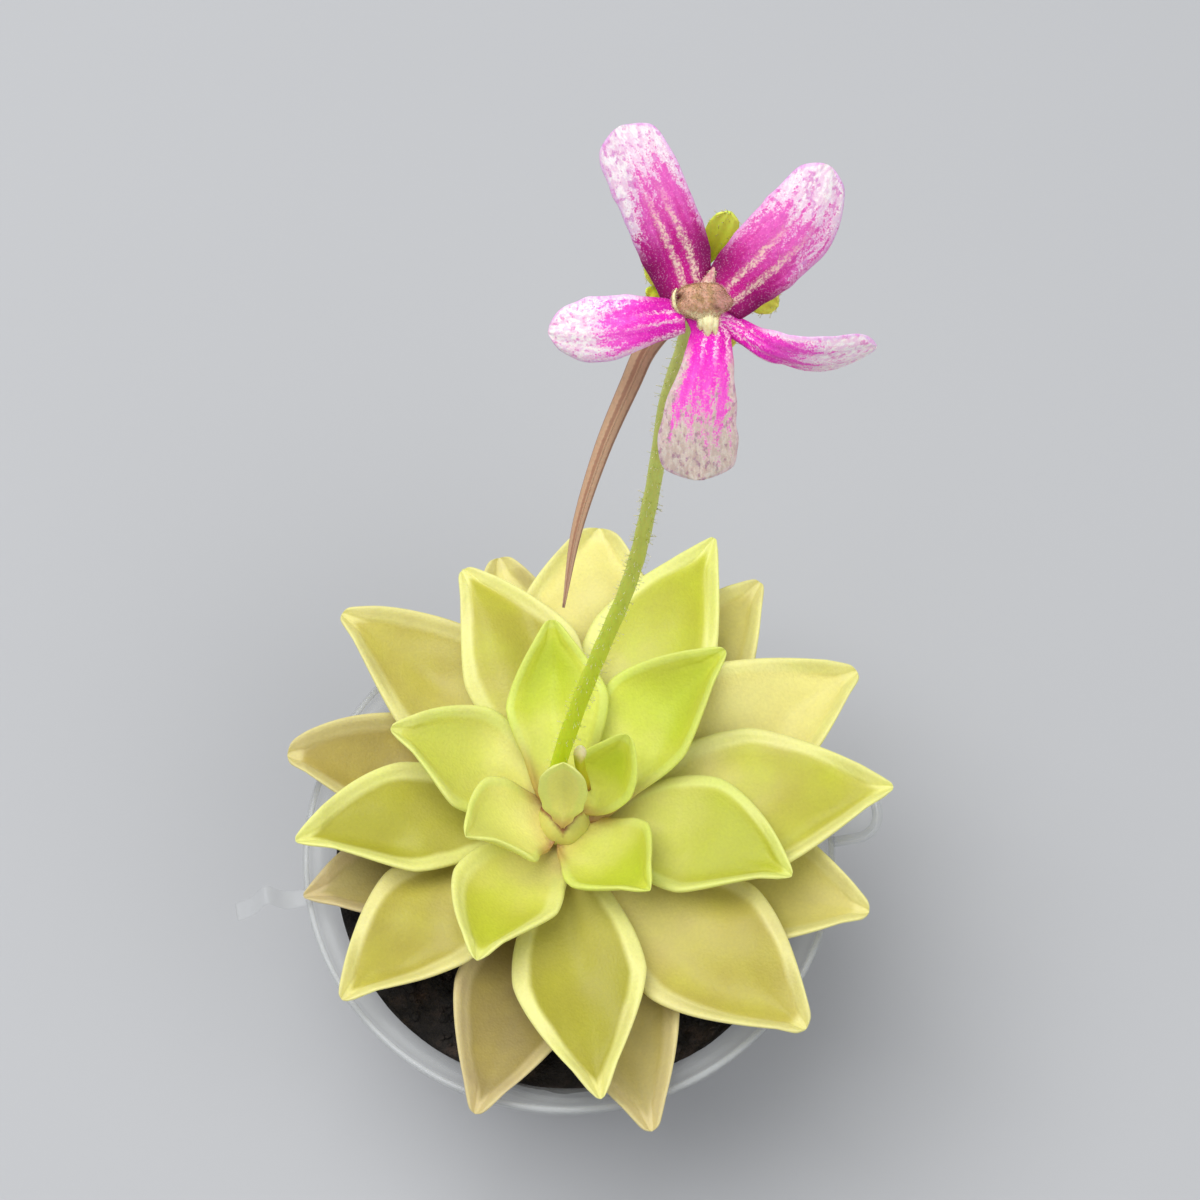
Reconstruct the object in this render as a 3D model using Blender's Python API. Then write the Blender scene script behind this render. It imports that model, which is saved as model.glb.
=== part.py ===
"""Potted butterwort: a rosette of fleshy, boat-shaped leaves on a short crown, growing in a
clear plastic cup of damp substrate, with one long-spurred flower on a thin scape.

Lengths in this script are millimetres, and become metres when a mesh is made. +Z is up, and
the origin is the centre of the cup's flat underside. Each sub-part is one closed body with a
small gap to its neighbours.
"""

import math

import bmesh
import bpy
from mathutils import Matrix, Vector, noise
from mathutils.bvhtree import BVHTree

MM = 0.001
GAP = 0.3
SMOOTH_ANGLE = math.radians(42)

# ---- the cup
POT_HEIGHT = 35.0
FLANGE_RADIUS = 31.0
FLANGE_TOP = POT_HEIGHT - 0.9
MOUTH_RADIUS = 28.0
FOOT_RADIUS = 21.6
WALL = 0.8
POT_SEGMENTS = 56
DRAIN_HOLES = 4
DRAIN_RADIUS = 2.0
DRAIN_CIRCLE = 14.0
TAB_AZIMUTH = math.radians(10)
TAB_REACH = 37.0
TAB_HALF_WIDTH = 5.0
TAB_RIB = 1.4
STRAP_AZIMUTH = math.radians(191)
STRAP_HALF_WIDTH = 1.1
STRAP_THICKNESS = 0.5

# ---- the substrate
SOIL_TOP = 31.6
SOIL_BUMP = 0.7
SOIL_SEGMENTS = 40
SOIL_SEED = Vector((3.1, 7.7, 1.3))

# ---- the crown and its roots
CROWN_X, CROWN_Y = -0.5, 2.2
CROWN_TOP = 40.2
CROWN_RADIUS = 2.5
CROWN_SHOULDER = 34.0
CROWN_TOP_RADIUS = 1.6
ROOTS = 6
ROOT_RADIUS = 0.55

# ---- the leaves
LEAF_STEPS = 8
# Stations across a leaf: 0 on the midrib, 0.8 on the fold where the margin turns up, 1 on its edge.
FOLD = 0.8
LEAF_STATIONS = (-1, -FOLD, -FOLD / 2, 0, FOLD / 2, FOLD, 1)
LEAF_THICKNESS = 1.15
EDGE_THICKNESS = 0.7
MARGIN_RUN = 1.45
MARGIN_RISE = 1.8
BASE_CLEARANCE = 0.4
DRAPE_GAP = 0.35
DRAPE_FINENESS = 5
DRAPE_ROUNDS = 12
DRAPE_SLOPE_ALONG = 0.35
DRAPE_SLOPE_ACROSS = 0.6
# One row a leaf, from the oldest, lowest one up: the tip's x, y and height above the flange,
# the blade's half width, the base's height above the flange, how deeply the floor is dished,
# as a share of the half width, and how far the midrib's bend is moved to the left of the leaf.
LEAVES = (
    # the lowest ring, old and tan
    (-10.1, -31.5, 2.0, 7.0, -2.4, 0.12, 1.0),
    (9.3, -33.4, 2.0, 7.0, -2.4, 0.12, 0.0),
    (-8.6, 35.8, 3.0, 7.0, -2.4, 0.12, 0.0),
    (22.9, 32.6, 3.0, 7.6, -2.4, 0.12, 0.0),
    (-30.3, -6.4, 1.5, 6.6, -2.0, 0.12, 0.0),
    (34.0, -9.1, 4.0, 8.0, -2.2, 0.12, 0.0),
    (9.0, 33.1, 4.0, 6.2, -2.0, 0.12, 0.0),
    (-32.8, 10.1, 3.5, 6.4, -2.0, 0.14, -4.0),
    (-25.1, -19.2, 4.0, 6.9, -1.6, 0.16, -2.6),
    # the middle ring, pale yellow
    (26.3, -22.9, 5.5, 8.3, -1.2, 0.18, 0.0),
    (33.8, 19.8, 5.5, 8.8, -1.0, 0.18, 0.0),
    (3.5, 38.1, 6.5, 8.4, -0.8, 0.2, 0.0),
    (-26.9, 26.8, 6.5, 7.2, -0.6, 0.2, -4.5),
    (3.7, -31.0, 7.0, 7.1, -0.4, 0.22, -1.3),
    (-30.7, -2.0, 8.0, 6.4, -0.2, 0.22, -4.0),
    (37.0, 4.5, 8.0, 8.6, 0.2, 0.22, 0.0),
    (17.2, 35.8, 8.5, 7.4, 0.4, 0.22, 0.0),
    (-12.6, 31.6, 8.5, 6.8, 0.8, 0.22, -4.0),
    # the inner ones, brightest
    (24.9, -6.8, 10.0, 7.0, 1.4, 0.24, 3.8),
    (-9.8, -16.7, 11.0, 6.2, 1.8, 0.24, -2.6),
    (-20.1, 10.0, 12.0, 6.0, 2.2, 0.24, -3.0),
    (17.9, 18.6, 14.5, 6.0, 2.6, 0.26, 2.0),
    (-2.0, 22.9, 13.5, 5.7, 2.8, 0.26, 0.0),
    (9.1, -9.1, 12.0, 5.7, 3.2, 0.26, 0.0),
    (-11.2, -3.2, 13.0, 5.5, 3.6, 0.26, -2.0),
    (8.1, 6.5, 15.5, 3.7, 4.2, 0.3, 0.0),
    (-0.4, 3.6, 18.5, 3.4, 6.0, 0.34, 0.0),
)
# The youngest leaf stands up from the front of the crown.
YOUNGEST_BASE_RADIUS = -2.0
# The midrib leaves the base rising by this share of the whole rise over half the reach.
BEND_SHARE = 0.3

# ---- the scape: its centre line and its radius at the foot, the middle and the top
SCAPE_LINE = (
    (-1.0, 2.9, 40.8),
    (-1.2, 4.9, 47.0),
    (1.45, 8.0, 60.0),
    (3.75, 9.8, 70.0),
    (5.9, 11.5, 78.5),
    (7.2, 12.8, 85.0),
    (8.1, 14.1, 91.5),
    (8.8, 15.2, 98.0),
    (9.7, 17.5, 109.0),
    (11.0, 18.9, 116.5),
    (11.75, 19.9, 123.45),
)
SCAPE_RADII = (0.95, 0.8, 0.62)

# ---- the flower: its throat, and how far its face tips up from level
THROAT = Vector((11.9, 15.5, 130.0))
FACE_TILT = math.radians(50)
RIGHT = Vector((1, 0, 0))
UP = Vector((0, math.sin(FACE_TILT), math.cos(FACE_TILT)))
FACE = Vector((0, -math.cos(FACE_TILT), math.sin(FACE_TILT)))
BLADE_STEPS = 10
BLADE_SIDES = 4
PETAL_THICKNESS = 0.4
PETAL_ARCH = 0.25
SEPAL_THICKNESS = 0.45
SEPAL_ARCH = -0.2
# In the flower's own axes (right, up, towards the viewer): the midline, the full width at
# stations along it, and the twist about it in degrees.
PETALS = {
    "petal_upper_left": (
        ((-1.6, 2.65, -0.2), (-3.0, 6.1, 0.6), (-4.7, 10.0, 0.3), (-6.8, 13.9, -1.0)),
        ((0, 5.6), (0.2, 5.95), (0.5, 5.95), (0.77, 5.9), (0.9, 5.3), (1, 3.4)),
        0,
    ),
    "petal_upper_right": (
        ((3.05, 0.85, -0.2), (5.47, 3.33, 0.6), (8.35, 6.4, 0.2), (10.6, 10.8, -1.0)),
        ((0, 5.4), (0.2, 6.25), (0.5, 6.7), (0.7, 6.55), (0.88, 5.0), (1, 2.7)),
        0,
    ),
    "petal_lower_left": (
        ((-2.6, -1.85, 0.0), (-5.6, -2.22, 0.9), (-9.2, -2.8, 0.7), (-12.7, -2.95, -0.4)),
        ((0, 3.5), (0.2, 4.35), (0.5, 5.45), (0.7, 5.45), (0.88, 4.1), (1, 1.9)),
        0,
    ),
    "petal_lower_middle": (
        ((1.05, -2.95, 0.0), (0.7, -6.2, 1.0), (0.05, -11.0, 0.9), (0.1, -15.7, -0.2)),
        ((0, 3.35), (0.2, 4.1), (0.35, 4.75), (0.65, 6.5), (0.82, 6.75), (0.93, 6.15), (1, 4.9)),
        0,
    ),
    "petal_lower_right": (
        ((2.95, -2.65, -0.7), (6.2, -4.5, 1.2), (10.4, -5.25, 1.7), (14.9, -4.2, 0.6)),
        ((0, 1.9), (0.15, 2.3), (0.35, 3.9), (0.6, 5.3), (0.85, 4.4), (1, 1.6)),
        50,
    ),
}
SEPALS = {
    "sepal_top": ((0.5, 1.6, -6.6), (1.3, 3.5, -4.4), (2.6, 6.7, -2.6)),
    "sepal_left": ((-0.9, 1.4, -6.6), (-2.9, 1.4, -4.6), (-5.1, 0.7, -3.4)),
    "sepal_lower_left": ((-1.6, 0.4, -6.6), (-3.2, -0.2, -4.8), (-4.9, -2.0, -3.9)),
    "sepal_right": ((1.6, -0.3, -6.6), (3.8, -0.7, -4.6), (6.9, -1.3, -3.4)),
    "sepal_lower_right": ((0.6, -1.5, -6.6), (1.6, -3.2, -4.8), (2.6, -5.2, -4.0)),
}
SEPAL_WIDTHS = ((0, 0.7), (0.4, 1.4), (0.72, 2.7), (0.92, 2.1), (1, 0.8))
# The throat's inside and the outside of tube and spur: points down the middle with a radius.
THROAT_WELL = ((0, 0, 0, 2.1), (0, 0, -2.0, 1.55), (0, 0, -4.2, 1.2), (0, 0, -5.0, 0.7))
TUBE_AND_SPUR = (
    (0, 0, 0, 2.5),
    (0, 0, -2.0, 2.0),
    (-0.1, -0.2, -4.2, 1.75),
    (-0.9, -1.2, -5.9, 1.35),
    (-2.6, -3.3, -6.6, 1.0),
    (-4.4, -5.6, -6.4, 0.95),
    (-5.6, -8.2, -6.0, 0.9),
    (-8.1, -14.0, -5.2, 0.74),
    (-10.3, -21.0, -4.6, 0.5),
    (-11.5, -27.9, -4.0, 0.12),
)
TUBE_SIDES = 12


def material(name, color, roughness, alpha=1.0, transmission=0.0):
    """A plain Principled material."""
    mat = bpy.data.materials.new(name)
    mat.use_nodes = True
    shader = mat.node_tree.nodes["Principled BSDF"]
    shader.inputs["Base Color"].default_value = (*color, 1)
    shader.inputs["Roughness"].default_value = roughness
    shader.inputs["Metallic"].default_value = 0.0
    shader.inputs["Alpha"].default_value = alpha
    shader.inputs["Transmission Weight"].default_value = transmission
    mat.diffuse_color = (*color, alpha)
    return mat


def finish_object(name, bm, mat):
    """Turn a closed bmesh in metres into the scene's object, facing out."""
    bmesh.ops.recalc_face_normals(bm, faces=bm.faces)
    mesh = bpy.data.meshes.new(name)
    bm.to_mesh(mesh)
    bm.free()
    mesh.shade_smooth()
    mesh.set_sharp_from_angle(angle=SMOOTH_ANGLE)
    obj = bpy.data.objects.new(name, mesh)
    bpy.context.scene.collection.objects.link(obj)
    if mat:
        mesh.materials.append(mat)
    return obj


def from_faces(name, points, faces, mat):
    """An object from points in millimetres and the faces that join them."""
    bm = bmesh.new()
    verts = [bm.verts.new(Vector(p) * MM) for p in points]
    for face in faces:
        bm.faces.new([verts[k] for k in face])
    return finish_object(name, bm, mat)


def turned(name, profile, segments, mat):
    """Spin a profile of (radius, height) points, which starts and ends on the axis."""
    bm = bmesh.new()
    verts = [bm.verts.new((r * MM, 0, z * MM)) for r, z in profile]
    edges = [bm.edges.new(pair) for pair in zip(verts, verts[1:])]
    bmesh.ops.spin(
        bm, geom=verts + edges, axis=(0, 0, 1), cent=(0, 0, 0), angle=2 * math.pi, steps=segments
    )
    bmesh.ops.remove_doubles(bm, verts=bm.verts, dist=0.00001)
    return finish_object(name, bm, mat)


def cutter(obj):
    """Hide a solid that only shapes another one."""
    obj.hide_render = True
    obj.display_type = "WIRE"
    return obj


def combine(target, other, operation):
    """Add a Boolean with a hidden helper solid."""
    modifier = target.modifiers.new(other.name, "BOOLEAN")
    modifier.operation = operation
    modifier.solver = "EXACT"
    modifier.object = cutter(other)


def smooth_line(points, steps):
    """Points along the Catmull-Rom curve through the given ones, of any dimension."""
    ends = [tuple(2 * a - b for a, b in zip(points[0], points[1]))]
    ends += [tuple(p) for p in points]
    ends += [tuple(2 * a - b for a, b in zip(points[-1], points[-2]))]
    line = []
    for k in range(len(points) - 1):
        p0, p1, p2, p3 = ends[k : k + 4]
        for n in range(steps):
            t = n / steps
            line.append(
                tuple(
                    b + 0.5 * t * (c - a + t * (2 * a - 5 * b + 4 * c - d + t * (3 * (b - c) + d - a)))
                    for a, b, c, d in zip(p0, p1, p2, p3)
                )
            )
    return line + [tuple(points[-1])]


def point_on(points, t):
    """The point at fraction t along the Catmull-Rom curve through the given points."""
    steps = 24
    line = smooth_line(points, steps)
    x = t * (len(line) - 1)
    k = min(int(x), len(line) - 2)
    return Vector(line[k]).lerp(Vector(line[k + 1]), x - k)


def rings_along(path, radii, sides):
    """Circles square to a path, turned as little as possible from one to the next."""
    path = [Vector(p) for p in path]
    last = len(path) - 1
    normal = (path[1] - path[0]).orthogonal().normalized()
    rings = []
    for k, centre in enumerate(path):
        tangent = (path[min(k + 1, last)] - path[max(k - 1, 0)]).normalized()
        normal = (normal - tangent * normal.dot(tangent)).normalized()
        side = tangent.cross(normal)
        turns = [2 * math.pi * s / sides for s in range(sides)]
        rings.append([centre + (normal * math.cos(a) + side * math.sin(a)) * radii[k] for a in turns])
    return rings


def loft(name, rings, mat):
    """A closed body through rings of equally many points, flat at both ends."""
    sides = len(rings[0])
    faces = [tuple(range(sides)), tuple(range((len(rings) - 1) * sides, len(rings) * sides))]
    for r in range(len(rings) - 1):
        for s in range(sides):
            a, b = r * sides + s, r * sides + (s + 1) % sides
            faces.append((a, b, b + sides, a + sides))
    return from_faces(name, [p for ring in rings for p in ring], faces, mat)


def tube(name, path, radii, sides, mat):
    """A round rod along a path, with its radii spread evenly over it."""
    stations = [(n / (len(radii) - 1), r) for n, r in enumerate(radii)]
    spread = [interpolate(stations, k / (len(path) - 1)) for k in range(len(path))]
    return loft(name, rings_along(path, spread, sides), mat)


def interpolate(stations, t):
    """The value at t, eased between stations of (t, value)."""
    for (t0, v0), (t1, v1) in zip(stations, stations[1:]):
        if t <= t1:
            x = (t - t0) / (t1 - t0)
            return v0 + (v1 - v0) * x * x * (3 - 2 * x)
    return stations[-1][1]


def around(azimuth, radius, across, z):
    """A point at a radius along an azimuth, moved across it."""
    c, s = math.cos(azimuth), math.sin(azimuth)
    return (radius * c - across * s, radius * s + across * c, z)


# ---- the cup


def pot_profile():
    """Outside from the foot up over the flange's lip, then down the inside."""
    return (
        (0, 0),
        (FOOT_RADIUS - 1.0, 0),
        (FOOT_RADIUS, 0.4),
        (FOOT_RADIUS + 0.6, 1.4),
        (MOUTH_RADIUS + 0.5, FLANGE_TOP - 1.8),
        (MOUTH_RADIUS + 1.1, FLANGE_TOP - 0.9),
        (FLANGE_RADIUS - 0.3, FLANGE_TOP - 0.8),
        (FLANGE_RADIUS, FLANGE_TOP - 0.4),
        (FLANGE_RADIUS, POT_HEIGHT - 0.35),
        (FLANGE_RADIUS - 0.45, POT_HEIGHT),
        (FLANGE_RADIUS - 1.0, POT_HEIGHT - 0.25),
        (FLANGE_RADIUS - 1.3, FLANGE_TOP),
        (MOUTH_RADIUS + 0.5, FLANGE_TOP),
        (MOUTH_RADIUS - 0.2, FLANGE_TOP - 0.7),
        (FOOT_RADIUS - 0.2, WALL + 0.8),
        (FOOT_RADIUS - 0.9, WALL),
        (0, WALL),
    )


def tab_outline(reach, half_width):
    """The tab seen from above: straight from under the lip, with rounded outer corners."""
    corner = 3.0
    root = FLANGE_RADIUS - 0.6
    points = [(root, -half_width)]
    for k in range(5):
        a = math.radians(-90 + 22.5 * k)
        points.append(
            (reach - corner + corner * math.cos(a), -half_width + corner + corner * math.sin(a))
        )
    return points + [(r, -across) for r, across in reversed(points)]


def prism(name, outline, low, high):
    """A helper solid: an outline of (x, y, _) points raised from one height to another."""
    count = len(outline)
    points = [(p[0], p[1], low) for p in outline] + [(p[0], p[1], high) for p in outline]
    faces = [tuple(range(count)), tuple(range(count, 2 * count))]
    faces += [(k, (k + 1) % count, (k + 1) % count + count, k + count) for k in range(count)]
    return from_faces(name, points, faces, None)


def build_tab(pot):
    """The lid-catch tab: a thin web with a raised rib round its edge."""
    rim = [around(TAB_AZIMUTH, r, c, 0) for r, c in tab_outline(TAB_REACH, TAB_HALF_WIDTH)]
    inner = [
        around(TAB_AZIMUTH, max(r, FLANGE_RADIUS + 0.5), c, 0)
        for r, c in tab_outline(TAB_REACH - TAB_RIB, TAB_HALF_WIDTH - TAB_RIB)
    ]
    combine(pot, prism("tab_solid", rim, FLANGE_TOP - 0.7, POT_HEIGHT - 0.4), "UNION")
    combine(pot, prism("tab_hollow", inner, FLANGE_TOP - 0.1, POT_HEIGHT + 1), "DIFFERENCE")


def build_strap(pot):
    """The stub of the lid's living hinge: a thin strap folded up and over."""
    fold = ((30.2, 34.0), (33.2, 34.4), (35.0, 37.4), (36.8, 34.6), (39.0, 33.2))
    top = [(r, z + STRAP_THICKNESS) for r, z in reversed(fold)]
    outline = list(fold) + top
    count = len(outline)
    points = [
        around(STRAP_AZIMUTH, r, side * STRAP_HALF_WIDTH, z) for side in (-1, 1) for r, z in outline
    ]
    quads = len(fold) - 1
    faces = []
    for k in range(quads):
        low, high = (k, k + 1), (count - 2 - k, count - 1 - k)
        faces.append((*low, *high))
        faces.append(tuple(n + count for n in (*low, *high)))
    faces += [(k, (k + 1) % count, (k + 1) % count + count, k + count) for k in range(count)]
    combine(pot, from_faces("strap_solid", points, faces, None), "UNION")


def build_pot(mat):
    pot = turned("pot", pot_profile(), POT_SEGMENTS, mat)
    build_tab(pot)
    build_strap(pot)
    for k in range(DRAIN_HOLES):
        angle = 2 * math.pi * (k + 0.5) / DRAIN_HOLES
        circle = [
            (
                DRAIN_CIRCLE * math.cos(angle) + DRAIN_RADIUS * math.cos(a),
                DRAIN_CIRCLE * math.sin(angle) + DRAIN_RADIUS * math.sin(a),
            )
            for a in (2 * math.pi * n / 16 for n in range(16))
        ]
        combine(pot, prism(f"drain_{k}", circle, -1, WALL + 1), "DIFFERENCE")


# ---- the crown, its roots and the substrate


def crown_profile(extra):
    """The short stem, tapering down to its rootstock, swollen by extra all round."""
    return (
        (0, 20.0 - extra),
        (0.8 + extra, 20.4 - extra),
        (1.7 + extra, 24.0),
        (CROWN_RADIUS - 0.2 + extra, 29.0),
        (CROWN_RADIUS + extra, CROWN_SHOULDER - 1),
        (CROWN_RADIUS + extra, CROWN_SHOULDER),
        (CROWN_TOP_RADIUS + extra, CROWN_TOP - 0.7),
        (CROWN_TOP_RADIUS - 0.5 + extra, CROWN_TOP - 0.1 + extra),
        (0, CROWN_TOP + extra),
    )


def root_path(k):
    """A root wandering out and down from the rootstock."""
    azimuth = 2 * math.pi * (k + 0.3) / ROOTS
    wander = 0.5 * math.sin(2.1 * k)
    stations = ((0.4, 25.5, 0), (4.5, 22.0, wander), (8.5, 16.5, -wander), (12.0, 9.0 + 0.6 * k, wander))
    line = [Vector(around(azimuth, r, across, z)) for r, z, across in stations]
    shift = Vector((CROWN_X, CROWN_Y, 0))
    return [Vector(p) + shift for p in smooth_line(line, 2)]


def build_crown(mat):
    crown = turned("crown", crown_profile(0), 20, mat)
    crown.location = (CROWN_X * MM, CROWN_Y * MM, 0)
    for k in range(ROOTS):
        root = tube(f"root_{k}", root_path(k), (ROOT_RADIUS, ROOT_RADIUS * 0.5), 6, None)
        combine(crown, root, "UNION")


def soil_height(x, y):
    """The substrate's uneven top."""
    return SOIL_TOP + SOIL_BUMP * noise.noise(Vector((x, y, 0)) * 0.16 + SOIL_SEED)


def build_substrate(mat):
    radius = MOUTH_RADIUS - 0.9
    taper = (MOUTH_RADIUS - FOOT_RADIUS) / (FLANGE_TOP - WALL)
    foot = FOOT_RADIUS - 1.3
    top_rings = [(radius * k / 6, SOIL_TOP) for k in range(6, -1, -1)]
    profile = [(0, WALL + GAP), (foot, WALL + GAP), (foot + taper * 2, WALL + 2)] + top_rings
    soil = turned("substrate", profile, SOIL_SEGMENTS, mat)
    for vertex in soil.data.vertices:
        if vertex.co.z > (SOIL_TOP - 1) * MM:
            vertex.co.z = soil_height(vertex.co.x / MM, vertex.co.y / MM) * MM
    pocket = turned("crown_pocket", crown_profile(GAP), 20, None)
    pocket.location = (CROWN_X * MM, CROWN_Y * MM, 0)
    combine(soil, pocket, "DIFFERENCE")
    for k in range(ROOTS):
        line = root_path(k)
        line[-1] = line[-1] + (line[-1] - line[-2]).normalized() * GAP
        radii = (ROOT_RADIUS + GAP, ROOT_RADIUS * 0.5 + GAP)
        combine(soil, tube(f"root_pocket_{k}", line, radii, 6, None), "DIFFERENCE")


# ---- the leaves


def crown_radius(z):
    """The crown's radius at a height, above its shoulder."""
    share = min(1, max(0, (z - CROWN_SHOULDER) / (CROWN_TOP - 0.7 - CROWN_SHOULDER)))
    return CROWN_RADIUS + (CROWN_TOP_RADIUS - CROWN_RADIUS) * share


def leaf_width(t):
    """A leaf's width as a share of its widest: waisted at the base, widest past the middle."""
    widest = 0.56
    if t < widest:
        return 0.2 + 0.8 * math.sin(math.pi / 2 * t / widest) ** 1.15
    return 1 - 0.96 * ((t - widest) / (1 - widest)) ** 1.4


def leaf_thickness(t, s):
    """Thin at the base and the edge, fleshy in the middle."""
    body = 0.45 + 0.55 * math.sin(math.pi * min(1, 0.15 + 0.85 * t))
    return body * (EDGE_THICKNESS + (LEAF_THICKNESS - EDGE_THICKNESS) * (1 - s * s))


def leaf_section(width, dish, t, s):
    """Sideways and upward distance of a station from the midrib: a dished floor between
    margins that turn up, and that die away towards the base."""
    turned_up = min(1, 0.15 + 2.5 * t)
    run = min(MARGIN_RUN * turned_up, 0.45 * width)
    floor = width - run
    across = min(abs(s) / FOLD, 1)
    margin = max(0, (abs(s) - FOLD) / (1 - FOLD))
    sideways = floor * across + run * margin
    upward = dish * floor * across * across * min(1, 0.2 + 2 * t)
    upward += run * (MARGIN_RISE / MARGIN_RUN) * margin
    return math.copysign(sideways, s), upward


def section_normal(width, dish, t, s):
    """The section's normal at a station, as its sideways and upward parts."""
    step = 0.5 * (1 - FOLD)
    x0, y0 = leaf_section(width, dish, t, max(-1, s - step))
    x1, y1 = leaf_section(width, dish, t, min(1, s + step))
    length = math.hypot(x1 - x0, y1 - y0)
    return (y0 - y1) / length, (x1 - x0) / length


def leaf_grids(row, steps, stations):
    """The upper and lower faces of a leaf before it settles on the ones below it."""
    tip_x, tip_y, tip_h, half_width, base_h, dish, bow = row
    crown = Vector((CROWN_X, CROWN_Y, 0))
    out = Vector((tip_x, tip_y, 0)) - crown
    reach = out.length
    out.normalize()
    fleshiness = min(1, 0.3 + half_width / 12)
    low, high = POT_HEIGHT + base_h, POT_HEIGHT + tip_h
    base_radius = crown_radius(low) + BASE_CLEARANCE
    if row is LEAVES[-1]:
        base_radius = YOUNGEST_BASE_RADIUS
    base = crown + out * base_radius + Vector((0, 0, low))
    tip = crown + out * reach + Vector((0, 0, high))
    bend = base.lerp(tip, 0.5) + Vector((-out.y, out.x, 0)) * bow
    bend.z = low + BEND_SHARE * (high - low)
    upper, lower = [], []
    for i in range(steps + 1):
        t = i / steps
        centre = base * (1 - t) ** 2 + bend * 2 * t * (1 - t) + tip * t * t
        tangent = ((bend - base) * (1 - t) + (tip - bend) * t).normalized()
        side = Vector((0, 0, 1)).cross(tangent).normalized()
        rise = tangent.cross(side)
        width = half_width * leaf_width(t)
        top_row, low_row = [], []
        for s in stations:
            sideways, upward = leaf_section(width, dish, t, s)
            across, up = section_normal(width, dish, t, s)
            point = centre + side * sideways + rise * upward
            top_row.append(point)
            low_row.append(point - (side * across + rise * up) * leaf_thickness(t, s) * fleshiness)
        upper.append(top_row)
        lower.append(low_row)
    return upper, lower


def bed_height(x, y):
    """What lies under the leaves besides other leaves: crown, substrate, flange and lip."""
    if math.hypot(x - CROWN_X, y - CROWN_Y) < CROWN_TOP_RADIUS:
        return CROWN_TOP
    r = math.hypot(x, y)
    if r < MOUTH_RADIUS - 0.5:
        return SOIL_TOP + SOIL_BUMP * 0.7
    return POT_HEIGHT if r < FLANGE_RADIUS + 0.5 else 0.0


def ground_under(pile, x, y):
    """The top of everything already placed at a spot."""
    hit = pile.ray_cast(Vector((x, y, 200)), Vector((0, 0, -1)))[0] if pile else None
    return max(bed_height(x, y), hit.z if hit else 0)


def blend(grid, u, v):
    """The point at cell coordinates u, v of a grid."""
    i, j = min(int(u), len(grid) - 2), min(int(v), len(grid[0]) - 2)
    a = grid[i][j].lerp(grid[i][j + 1], v - j)
    b = grid[i + 1][j].lerp(grid[i + 1][j + 1], v - j)
    return a.lerp(b, u - i)


def shortfalls(pile, lower):
    """How far each node of a leaf's underside must rise to clear what is below it."""
    rows, columns = len(lower), len(lower[0])
    need = [[0.0] * columns for _ in range(rows)]
    fine = DRAPE_FINENESS
    for a in range((rows - 1) * fine + 1):
        for b in range((columns - 1) * fine + 1):
            u, v = a / fine, b / fine
            point = blend(lower, u, v)
            short = ground_under(pile, point.x, point.y) + DRAPE_GAP - point.z
            if short > 0:
                for i in {math.floor(u), math.ceil(u)}:
                    for j in {math.floor(v), math.ceil(v)}:
                        need[i][j] = max(need[i][j], short)
    return need


def ease_lift(lift, lower):
    """Spread a lift over the blade so that it bends gently."""
    rows, columns = len(lift), len(lift[0])
    for _ in range(rows):
        for i in range(rows):
            for j in range(columns):
                for di, dj, slope in (
                    (1, 0, DRAPE_SLOPE_ALONG),
                    (-1, 0, DRAPE_SLOPE_ALONG),
                    (0, 1, DRAPE_SLOPE_ACROSS),
                    (0, -1, DRAPE_SLOPE_ACROSS),
                ):
                    m, n = i + di, j + dj
                    if 0 <= m < rows and 0 <= n < columns:
                        away = (lower[m][n] - lower[i][j]).length
                        lift[i][j] = max(lift[i][j], lift[m][n] - slope * away)


def settle(pile, upper, lower):
    """Raise a leaf until it rests on, and doesn't touch, what is below it."""
    for _ in range(DRAPE_ROUNDS):
        lift = shortfalls(pile, lower)
        if max(max(row) for row in lift) < 0.02:
            break
        ease_lift(lift, lower)
        for grid in (upper, lower):
            for points, rises in zip(grid, lift):
                for point, rise in zip(points, rises):
                    point.z += rise


def blade_faces(steps, sides):
    """Faces of a blade's two grids, joined round the edge."""
    row = sides + 1
    under = (steps + 1) * row
    faces = []
    for i in range(steps):
        for j in range(sides):
            a = i * row + j
            faces.append((a, a + 1, a + row + 1, a + row))
            faces.append((under + a, under + a + row, under + a + row + 1, under + a + 1))
        for a in (i * row, i * row + sides):
            faces.append((a, a + row, under + a + row, under + a))
    for j in range(sides):
        for a in (j, steps * row + j):
            faces.append((a, a + 1, under + a + 1, under + a))
    return faces


def all_leaf_grids():
    """Every leaf's two faces, settled from the lowest leaf up."""
    faces = blade_faces(LEAF_STEPS, len(LEAF_STATIONS) - 1)
    points, polygons, settled = [], [], []
    for row in LEAVES:
        upper, lower = leaf_grids(row, LEAF_STEPS, LEAF_STATIONS)
        settle(BVHTree.FromPolygons(points, polygons) if points else None, upper, lower)
        start = len(points)
        points += [p for grid in (upper, lower) for line in grid for p in line]
        polygons += [tuple(start + k for k in face) for face in faces]
        settled.append((upper, lower))
    return settled


def build_leaves(mats):
    faces = blade_faces(LEAF_STEPS, len(LEAF_STATIONS) - 1)
    for number, (upper, lower) in enumerate(all_leaf_grids(), 1):
        points = [p for grid in (upper, lower) for line in grid for p in line]
        ring = (number - 1) * len(mats) // len(LEAVES)
        from_faces(f"leaf_{number:02d}", points, faces, mats[ring])


# ---- the scape and the flower


def in_flower(point):
    """A point of the flower's own axes in the plant's."""
    return THROAT + RIGHT * point[0] + UP * point[1] + FACE * point[2]


def build_scape(mat):
    tube("scape", smooth_line(SCAPE_LINE, 2), SCAPE_RADII, 10, mat)


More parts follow.
